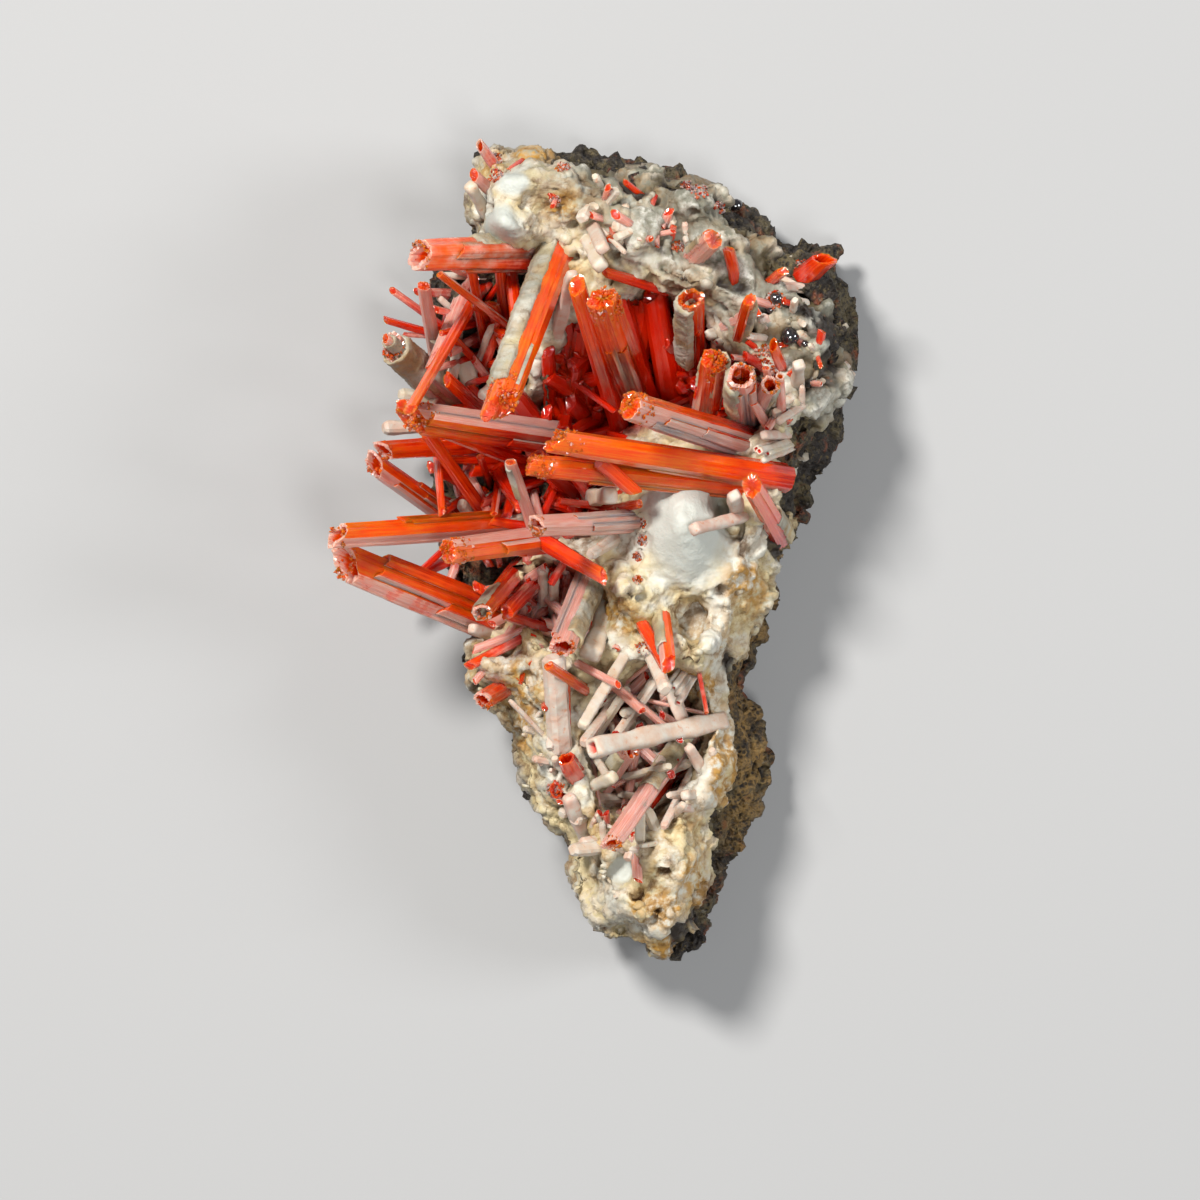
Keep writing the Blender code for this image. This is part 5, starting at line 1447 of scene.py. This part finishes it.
SLEEVE_MEAN, SLEEVE_GRAIN = 0.70, 0.10
RAGGED_SIZE, RAGGED = 1.6, 0.45


def sleeve_surface(prism, facing, start, stop, thick, seed):
    """A tube just inside the prism's section, pushed out by the thickness times noise where
    it faces the covered side with a ragged border, and drawn back in at its ends. The marks of
    the crust's finish follow from the same noise."""
    width, thickness = prism.width, prism.thickness
    length, axes = crystal_axes(prism.root, prism.tip, prism.roll)
    section, _ = prism_section(width, thickness, SLEEVE_COLUMNS // 4 - 1, 1)
    angle = np.arctan2(section[:, 1], section[:, 0])
    rounder = np.stack([np.cos(angle), np.sin(angle)], -1)
    looks = rounder[:, :1] * axes[0] + rounder[:, 1:] * axes[1]
    count = max(6, int((stop - start) * length / SLEEVE_SPACING))
    s = np.linspace(start, stop, count)[:, None]
    share = 1.0 - (1.0 - TIP_TAPER) * s - SLEEVE_INSET
    base = in_place(prism.root, axes, section[:, 0] * share, section[:, 1] * share, s * length)
    flat = base.reshape(-1, 3)

    grain = np.clip(np.random.default_rng(seed).standard_normal(len(flat)), -1.5, 1.5)
    lumps = SLEEVE_MEAN + SLEEVE_LUMPS * rough_noise(flat + 40.0, SLEEVE_LUMP_SIZE, seed, 3)
    lumps = (lumps + SLEEVE_GRAIN * grain).reshape(base.shape[:2])
    ragged = RAGGED * rough_noise(flat, RAGGED_SIZE, seed + 5, 3).reshape(base.shape[:2])
    cover = smooth(0.5 + 3.0 * towards(facing, rounder, axes) + 1.6 * ragged)
    from_end = np.minimum(s - start + 0.1 * (start == 0.0), stop - s) * length
    grown = cover * smooth((from_end + 1.2 * ragged) / (0.9 * thick + 0.15))
    height = (thick * lumps + 0.06) * grown - 0.10 * (1.0 - grown)
    rings = base + height[..., None] * looks
    middle = np.asarray(prism.root) + (s * length)[..., None] * axes[2]
    for end, way in ((0, 1.0), (-1, -1.0)):
        rings[end] = middle[end] + 0.5 * (rings[end] - middle[end]) + way * 0.8 * width * axes[2]

    zero = np.zeros(height.shape)
    stain = smooth(0.4 + rough_noise(flat, 2.6, seed + 3, 2)).reshape(height.shape)
    # Random grey patches, through the mark that carries painted shade on the crust
    dusk = smooth(0.6 + rough_noise(flat, 3.4, seed + 6, 2)).reshape(height.shape)
    marks = {
        # Painted shade between the lumps
        "crevice": 0.5 * smooth(0.6 - 1.6 * lumps),
        # Painted highlight on the tops of the lumps
        "crest": 0.5 * smooth(2.0 * lumps - 1.3),
        "stain": 0.6 * stain,
        "dusk": 0.8 * dusk,
        "bluish": zero,
        "red": zero,
        "bare": zero,
    }
    return tube(rings, 2.0 * (width + thickness), np.full(count - 1, SLEEVE_SPACING), marks)


for number, (node, member, facing, start, stop, thick) in enumerate(SLEEVES):
    prism = [prism for prism in CRYSTALS if prism.node == node][member]
    surface = sleeve_surface(prism, facing, start, stop, thick, 500 + number)
    sleeve = join_surfaces(f"sleeve_{node}_{member + 1}", [(gibbsite, [surface])], True)


# Small prisms
# The second crop of crocoite: short prisms and needles between the large ones, red and clear
# on the floors of the vugs, pink and white on the rims, rooted in the crust like the others.

# Root x and y, tip x and y, rise of the tip over the ground at the root, width, film, end
SMALL_PRISMS = [
    (-0.2, 32.6, 2.5, 29.7, 4.0, 0.5, 1.0, "flat"),
    (13.7, 26.9, 12.8, 30.2, 4.0, 1.4, 0.1, "flat"),
    (-2.0, 6.0, -6.4, 9.2, 18.0, 2.6, 0.0, "rough"),
    (1.8, 1.4, -1.0, -0.3, 4.0, 1.2, 1.0, "flat"),
    (-5.5, -6.2, -5.8, -1.6, 6.0, 1.1, 1.0, "flat"),
    (-4.8, -7.0, -4.6, -2.2, 6.5, 1.0, 1.0, "flat"),
    (-5.2, -18.8, -9.0, -14.8, 3.5, 0.5, 1.0, "flat"),
    (-3.2, -19.3, -3.2, -12.3, 5.0, 0.6, 0.0, "flat"),
    (-4.0, -19.8, -4.6, -10.4, 5.0, 2.2, 1.0, "flat"),
    (-2.4, -22.4, -3.4, -20.6, 3.6, 2.2, 0.0, "hollow"),
    (-3.8, -24.6, -4.5, -23.8, 2.4, 1.6, 0.0, "hollow"),
    (4.0, -6.8, 6.6, -11.6, 3.0, 1.4, 0.1, "rough"),
    (5.0, 13.5, 1.5, 25.8, 6.5, 3.2, 0.0, "flat"),
    (7.4, 15.5, 5.4, 26.4, 7.0, 3.0, 0.0, "flat"),
    (-1.0, 13.0, -3.6, 25.6, 9.0, 2.8, 0.0, "flat"),
    (1.8, 12.4, 4.6, 26.0, 7.0, 3.4, 0.0, "flat"),
    (-4.6, 13.0, -0.8, 26.4, 9.0, 2.4, 0.0, "flat"),
    (10.4, 15.0, 8.8, 26.0, 6.0, 2.6, 0.0, "flat"),
    (-5.4, 11.4, -9.4, 17.0, 9.0, 2.4, 0.0, "flat"),
    (5.3, -10.4, 6.5, -13.8, 4.5, 1.4, 1.0, "flat"),
    (6.0, -13.6, 8.2, -16.6, 6.0, 1.0, 0.8, "flat"),
    (9.9, -12.0, 10.6, -16.0, 5.0, 0.5, 0.5, "flat"),
    (6.0, -21.3, 4.0, -19.3, 6.0, 0.6, 0.7, "flat"),
    (7.2, -20.8, 6.8, -18.1, 6.0, 0.9, 1.0, "flat"),
    (12.5, -23.3, 11.2, -19.8, 4.0, 0.8, 1.0, "flat"),
    (2.8, -23.8, 3.6, -21.0, 6.0, 0.5, 0.0, "flat"),
    (9.0, -24.3, 6.8, -24.3, 4.0, 0.8, 1.0, "flat"),
    (0.0, -29.6, -2.8, -29.8, 3.0, 1.2, 1.0, "flat"),
    (4.0, -34.5, 1.5, -34.3, 2.6, 0.8, 1.0, "flat"),
    (-7.5, 39.4, -9.2, 38.0, 3.0, 1.0, 0.2, "flat"),
    (-10.6, 38.8, -12.0, 40.6, 3.0, 1.2, 0.6, "hollow"),
    (-11.2, 36.4, -12.6, 37.6, 3.0, 1.3, 0.7, "flat"),
    (-12.0, 7.0, -16.6, 3.4, 7.0, 0.9, 0.0, "flat"),
    (-8.2, 8.6, -9.4, 3.6, 10.0, 1.2, 0.0, "flat"),
    (-7.0, 6.8, -5.8, 2.6, 12.0, 0.9, 0.7, "flat"),
    (-14.0, 12.0, -18.8, 14.8, 7.0, 1.0, 0.2, "flat"),
    (-11.8, 23.6, -16.0, 22.0, 9.0, 0.8, 0.0, "flat"),
    (-9.0, 28.4, -8.4, 23.4, 5.0, 1.4, 0.0, "flat"),
    (12.6, 22.6, 15.4, 24.0, 5.0, 1.6, 0.9, "flat"),
    (17.6, 14.6, 16.4, 18.2, 6.0, 0.9, 0.6, "flat"),
    (18.2, 13.2, 17.8, 17.4, 7.0, 1.0, 0.6, "hollow"),
    (17.0, 12.4, 15.2, 14.8, 8.0, 1.1, 0.7, "flat"),
    (18.4, 18.2, 17.2, 20.6, 5.0, 1.3, 0.2, "hollow"),
    (20.4, 27.6, 22.6, 29.4, 3.4, 2.4, 0.1, "hollow"),
    (-6.0, -6.0, -9.0, -9.6, 6.0, 0.8, 0.7, "flat"),
    (-10.4, -10.4, -12.6, -13.0, 3.0, 0.9, 0.8, "flat"),
    (0.8, -5.0, 1.6, -9.8, 6.0, 1.1, 0.9, "flat"),
    (-2.6, -11.0, 1.8, -13.2, 7.0, 0.9, 0.9, "flat"),
    (1.0, -13.0, 4.2, -15.8, 8.0, 1.0, 0.8, "flat"),
]
# Where they grow in crowds: centre x, y, half-widths, turn, count, lengths, widths, lean of
# the mean direction in x and y, spread, film and share of white ones
CROWDS = [
    ("main_vug", 3.0, 18.2, 8.6, 6.2, 24, 90, (4.0, 9.5), (0.8, 2.2), (0.0, 0.1), 0.7, 0.05, 0.0),
    ("fan", -4.6, 8.4, 6.6, 7.0, 0, 80, (3.5, 10.0), (0.6, 1.6), (-0.3, 0.0), 0.85, 0.2, 0.03),
    ("left_lattice", -12.6, 20.2, 3.8, 8.6, 0, 60, (4.0, 9.5), (0.6, 1.3), (-0.2, 0.1), 0.9, 0.35, 0.18),
    ("left_foot", -13.0, 5.4, 3.6, 7.0, 0, 40, (3.0, 8.0), (0.6, 1.3), (-0.3, 0.0), 0.9, 0.3, 0.1),
    ("right_vug", 12.6, 15.6, 4.2, 4.2, 0, 45, (3.0, 8.0), (0.6, 1.3), (-0.2, 0.1), 0.7, 0.3, 0.1),
    ("shelf_hollow", -4.2, -5.6, 4.2, 4.6, 30, 50, (3.0, 7.5), (0.6, 1.4), (-0.3, -0.4), 0.8, 0.45, 0.2),
    ("lower_vug", 4.6, -19.0, 5.6, 7.6, -14, 150, (5.0, 12.0), (0.5, 1.3), (-0.1, 0.0), 1.0, 0.65, 0.45),
    ("top_rim", 4.0, 33.4, 8.6, 2.6, -14, 34, (1.4, 2.8), (0.6, 1.2), (-0.1, -0.2), 0.7, 0.4, 0.5),
    ("right_rim", 19.0, 20.0, 3.0, 7.6, 0, 30, (1.6, 3.6), (0.6, 1.2), (-0.4, 0.1), 0.7, 0.4, 0.5),
    ("bottom", 2.4, -28.4, 4.2, 2.4, 0, 22, (1.6, 3.4), (0.5, 1.1), (-0.2, 0.2), 0.8, 0.6, 0.8),
    ("left_slope", -6.4, -17.0, 2.0, 6.0, 20, 14, (1.2, 2.4), (0.4, 0.9), (-0.5, 0.0), 0.7, 0.5, 0.6),
]
SMALL_THICKNESS = 0.85  # widths
SMALL_ROLL = 30.0
ROOT_SINK = 0.8
ROOT_MARGIN = 1.2  # from the rock's outline
CRUST_SIDE = -2.0  # crowds centred right of this keep their tips over the crust
TIP_MARGIN = 1.0  # from the crust's outline
LEAST_RISE, RISE_SPREAD = 0.55, 0.5


def ground(x, y):
    """Height at which a plumb line from above meets the crust, or the bare rock beside it."""
    heights = []
    for place in zip(np.atleast_1d(x), np.atleast_1d(y)):
        start = (place[0] * MM, place[1] * MM, 1.0)
        met = [piece.ray_cast(start, (0.0, 0.0, -1.0)) for piece in (crust, rock)]
        heights.append(max([spot.z / MM for hit, spot, _, _ in met if hit], default=SEAM_LEVEL))
    return np.array(heights)


def crowd_prisms(crowd, seed):
    """Roots spread evenly over an ellipse on the ground, with directions about a mean one."""
    name, cx, cy, along, across, turn, count, lengths, widths, lean, spread, film, white = crowd
    rng = np.random.default_rng(seed)
    angle = rng.uniform(0.0, 2.0 * math.pi, count)
    radius = np.sqrt(rng.random(count))
    c, s = math.cos(math.radians(turn)), math.sin(math.radians(turn))
    u, v = along * radius * np.cos(angle), across * radius * np.sin(angle)
    x, y = cx + u * c - v * s, cy + u * s + v * c
    inside = within(ROCK_OUTLINE, x, y) & (edge_distance(ROCK_OUTLINE, x, y) > ROOT_MARGIN)
    inside &= np.min([reach(mound, x, y) for mound in SMOOTH_MOUNDS], axis=0) > 0.9
    way = np.stack([lean[0] + spread * rng.standard_normal(count),
                    lean[1] + spread * rng.standard_normal(count),
                    LEAST_RISE + RISE_SPREAD * rng.random(count)], -1)
    way /= np.linalg.norm(way, axis=1, keepdims=True)
    root = np.stack([x, y, ground(x, y) - ROOT_SINK], -1)
    tip = root + way * rng.uniform(*lengths, count)[:, None]
    if cx > CRUST_SIDE:
        inside &= within(CRUST_OUTLINE, tip[:, 0], tip[:, 1])
        inside &= edge_distance(CRUST_OUTLINE, tip[:, 0], tip[:, 1]) > TIP_MARGIN
    width = rng.uniform(*widths, count)
    filmed = np.where(rng.random(count) < 2.0 * film, film + 0.3 * rng.random(count), 0.1)
    filmed = np.where(rng.random(count) < white, 1.0, np.minimum(filmed, 0.95))
    rolls = rng.uniform(0.0, 90.0, count)
    thickness = SMALL_THICKNESS * width
    return [Prism(name, root[n], tip[n], width[n], thickness[n], rolls[n], "flat", filmed[n],
                  ROUND) for n in range(count) if inside[n]]


def small_surfaces(prisms, seed):
    """The bare and the white surfaces of small prisms, with their materials."""
    bare, white = [], []
    for number, prism in enumerate(prisms):
        if prism.film < 1.0:
            bare.append(crystal_surface(prism, seed + number, 3, 1))
        else:
            white.append(sheath_surface(prism, seed + number, 12))
    return [pair for pair in ((crocoite, bare), (pale_sheath, white)) if pair[1]]


placed = []
for x0, y0, x1, y1, rise, width, film, end in SMALL_PRISMS:
    level = float(ground(x0, y0)[0]) - ROOT_SINK
    placed.append(Prism("placed", (x0, y0, level), (x1, y1, level + rise), width,
                        SMALL_THICKNESS * width, SMALL_ROLL, end, film, ROUND))
join_surfaces("small_prisms_placed", small_surfaces(placed, 1000), False)
for number, crowd in enumerate(CROWDS):
    groups = small_surfaces(crowd_prisms(crowd, 1100 + number), 1200 + 100 * number)
    join_surfaces(f"small_prisms_{crowd[0]}", groups, False)


# Sheathed stubs of the crust
# Crystals that the crust covers whole, one with it: white and cream fingers on the rims and
# in the lower vug, with the round ends and pores of the crust.

# Root, tip, width
STUBS = [
    ((-2.2, 33.0, 17.0), (0.1, 28.2, 25.0), 1.3),
    ((-1.2, 33.7, 18.0), (0.3, 29.9, 27.0), 1.3),
    ((25.0, 18.6, 12.0), (16.3, 13.2, 25.0), 2.1),
    ((19.4, 11.0, 15.0), (15.3, 9.4, 27.0), 1.5),
    ((19.4, 11.8, 15.0), (16.2, 11.6, 24.5), 0.9),
    ((19.8, 15.4, 15.0), (19.7, 18.6, 26.0), 1.2),
    ((14.0, 3.0, 14.0), (13.3, 5.6, 26.0), 1.4),
    ((16.6, 4.1, 16.0), (9.2, 2.2, 27.0), 1.2),
    ((15.0, 22.7, 11.0), (10.6, 21.3, 17.0), 1.5),
    ((10.0, -10.4, 16.0), (6.8, -14.9, 22.5), 1.8),
    ((5.0, -28.4, 13.0), (8.4, -25.2, 21.0), 0.9),
    ((11.0, -24.5, 13.0), (8.4, -24.3, 21.0), 1.0),
    ((10.8, -26.0, 13.0), (8.4, -25.6, 20.0), 0.9),
    ((-3.4, -24.8, 13.0), (1.4, -22.4, 21.0), 1.2),
    ((-1.0, -30.0, 14.0), (-3.2, -24.4, 20.0), 1.4),
    ((0.6, -29.5, 14.0), (-2.9, -29.9, 18.0), 1.2),
    ((1.0, -12.2, 8.5), (5.6, -17.2, 14.5), 1.2),
    ((-11.4, 34.0, 17.0), (-13.0, 36.6, 22.0), 1.2),
    ((-9.6, -9.0, 11.0), (-13.0, -7.6, 17.0), 1.1),
]
BUNDLED_WIDTH = 1.45  # a stub at least this wide is a bundle of fingers
STUB_ROLL = 15.0
FINGER_PLACES = (-0.36, -0.12, 0.13, 0.36)
FINGER_LENGTHS = (0.72, 0.98)
FINGER_WIDTHS = (0.36, 0.48)


def fingers(root, tip, width, seed):
    """The stub itself, or four slim fingers of unequal length that share its place."""
    stub = Prism("stub", root, tip, width, 0.9 * width, STUB_ROLL, "flat", 1.0, ROUND)
    if width < BUNDLED_WIDTH:
        return [stub]
    rng = np.random.default_rng(seed)
    length, (across, beside, along) = crystal_axes(root, tip, STUB_ROLL)
    slim_ones = []
    for place in FINGER_PLACES:
        aside = place * width * across + 0.2 * width * rng.uniform(-1.0, 1.0) * beside
        start = np.asarray(root) + aside
        stop = start + rng.uniform(*FINGER_LENGTHS) * length * along + 0.3 * aside
        slim = rng.uniform(*FINGER_WIDTHS) * width
        end = rng.choice(["flat", "hollow"])
        slim_ones.append(stub._replace(root=start, tip=stop, width=slim, thickness=0.9 * slim,
                                       end=end))
    return slim_ones


stub_prisms = []
for number, stub in enumerate(STUBS):
    stub_prisms += fingers(*stub, 950 + number)
stubs = [sheath_surface(prism, 900 + number, 16) for number, prism in enumerate(stub_prisms)]
join_surfaces("sheathed_stubs", [(pale_sheath, stubs)], True)


# Druse
# Glitter: crusts of crystals under half a millimetre on the broken ends of the large prisms,
# and in pits of the gibbsite, where they sit inside a thin white ring.

# Centre x, y, radius of each pocket in the crust
POCKETS = [
    (4.1, 2.9, 0.5), (4.3, 1.1, 0.55), (3.7, -0.5, 0.45), (3.7, -2.8, 0.4), (-3.7, 38.4, 0.6),
    (-4.5, 34.9, 0.5), (10.0, 36.2, 0.9), (12.0, 34.7, 0.6), (8.8, 36.9, 0.6),
    (16.5, 19.4, 1.4), (17.2, 17.6, 0.8), (-0.8, -5.1, 0.8), (17.5, 25.2, 1.0),
    (20.6, 28.6, 1.0), (-10.6, 39.4, 0.8), (-10.4, 37.6, 0.7), (-4.4, -23.8, 0.9),
    (6.2, -8.8, 1.0), (14.2, 22.0, 0.7), (7.8, 30.6, 0.6), (4.4, -9.6, 0.7),
]
CHIP = np.array([
    (1.0, 0.0, 0.0), (0.0, 1.0, 0.0), (-1.0, 0.0, 0.0), (0.0, -1.0, 0.0),
    (0.0, 0.0, 1.6), (0.0, 0.0, -1.0),
])
CHIP_FACES = np.array([
    (0, 1, 4), (1, 2, 4), (2, 3, 4), (3, 0, 4), (1, 0, 5), (2, 1, 5), (3, 2, 5), (0, 3, 5),
])
ROUGH_CHIPS, RIM_CHIPS = 44, 14  # for each millimetre of width
POCKET_CHIPS = 70  # for each millimetre of radius
END_CHIP_SIZES = (0.10, 0.26)
POCKET_CHIP_SIZES = (0.12, 0.26)


def chip_surface(centres, ways, sizes, film, seed):
    """A double pyramid at each centre, turned so that its long point follows its own way."""
    rng = np.random.default_rng(seed)
    count, corners = len(centres), len(CHIP)
    ways = ways / np.linalg.norm(ways, axis=1, keepdims=True)
    side = np.cross(ways, rng.standard_normal((count, 3)))
    side /= np.linalg.norm(side, axis=1, keepdims=True)
    axes = np.stack([side, np.cross(ways, side), ways], 1)
    points = centres[:, None] + sizes[:, None, None] * np.einsum("kc,ncd->nkd", CHIP, axes)
    faces = (CHIP_FACES + corners * np.arange(count)[:, None, None]).reshape(-1, 3)
    marks = {
        "film": np.repeat(film * rng.random(count), corners),
        "inner": np.zeros(corners * count),
        "glow": np.repeat(rng.random(count), corners),
        "tone": np.repeat(rng.random(count), corners),
    }
    return {
        "points": keep_in_box(points.reshape(-1, 3)),
        "faces": faces.tolist(),
        "uv": np.repeat(rng.random((len(faces), 2)), 3, axis=0),
        "marks": marks,
    }


def end_druse(prism, seed):
    """Chips round the rim of a hollow end, or all over a rough one and down its sides."""
    rng = np.random.default_rng(seed)
    width, rough = prism.width, prism.end == "rough"
    _, axes = crystal_axes(prism.root, prism.tip, prism.roll)
    count = int((ROUGH_CHIPS if rough else RIM_CHIPS) * width)
    angle = rng.uniform(0.0, 2.0 * math.pi, count)
    inward = np.sqrt(rng.random(count)) if rough else rng.uniform(0.75, 1.0, count)
    down = (0.9 if rough else 0.15) * width * rng.random(count) ** 2
    radius = 0.42 * np.where(down > 0.3 * width, 1.0, inward)
    x = width * np.cos(angle) * radius
    y = prism.thickness * np.sin(angle) * radius
    centres = in_place(prism.tip, axes, x, y, -(down + 0.25))
    ways = 0.6 * axes[2] + rng.standard_normal((count, 3)) * 0.6
    return chip_surface(centres, ways, rng.uniform(*END_CHIP_SIZES, count), 0.55, seed)


def pocket_druse(pocket, seed):
    """Chips spread over a round pocket in the crust."""
    x, y, radius = pocket
    rng = np.random.default_rng(seed)
    count = int(POCKET_CHIPS * radius)
    angle = rng.uniform(0.0, 2.0 * math.pi, count)
    out = radius * np.sqrt(rng.random(count))
    px, py = x + out * np.cos(angle), y + out * np.sin(angle)
    centres = np.stack([px, py, ground(px, py) + 0.05], -1)
    ways = rng.standard_normal((count, 3)) * 0.5 + np.array([0.0, 0.0, 1.0])
    return chip_surface(centres, ways, rng.uniform(*POCKET_CHIP_SIZES, count), 1.0, seed)


druse = [end_druse(prism, 2000 + number) for number, prism in enumerate(CRYSTALS)
         if prism.end != "flat" and prism.film < 1.0]
druse += [pocket_druse(pocket, 2100 + number) for number, pocket in enumerate(POCKETS)]
join_surfaces("druse", [(crocoite, druse)], False)


# Glassy beads
# Black beads of manganese oxide that sit in the crust near the right rim, with a polish like
# that of jet, and smaller ones round them.

# Centre x, y, radius
BEADS = [
    (19.0, 21.7, 0.95), (17.6, 25.4, 0.7), (18.6, 25.0, 0.55), (17.1, 24.4, 0.5),
    (16.4, 23.4, 0.45), (13.8, 35.4, 0.7), (20.6, 20.8, 0.4),
]
BEAD_LIFT = 0.25  # radii
BEAD_COLOUR = (0.012, 0.010, 0.012)
BEAD_SEED = 3000


def bead_finish():
    """Near black with a mirror-like skin, dulled in small spots."""
    s = Shading("bead")
    spots = s.noise(s.place(), 1800.0, 3.0, 0.6)
    colour = s.mix(s.steps(spots, 0.58, 0.70), BEAD_COLOUR, GOSSAN_OLIVE)
    shine = s.span(spots, 0.04, 0.22)
    return s.finish(Base_Color=colour, Roughness=shine, IOR=2.0, Coat_Weight=0.4)


def make_beads():
    """Dented balls half sunk in the crust under them."""
    x, y, radii = np.array(BEADS).T
    centres = np.stack([x, y, ground(x, y) + BEAD_LIFT * radii], -1)
    upward = np.tile((0.0, 0.0, 1.0), (len(BEADS), 1))
    return make_balls("glassy_beads", centres, upward, radii, BEAD_SEED)


beads = make_beads()
beads.data.materials.append(bead_finish())
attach(beads, "root")
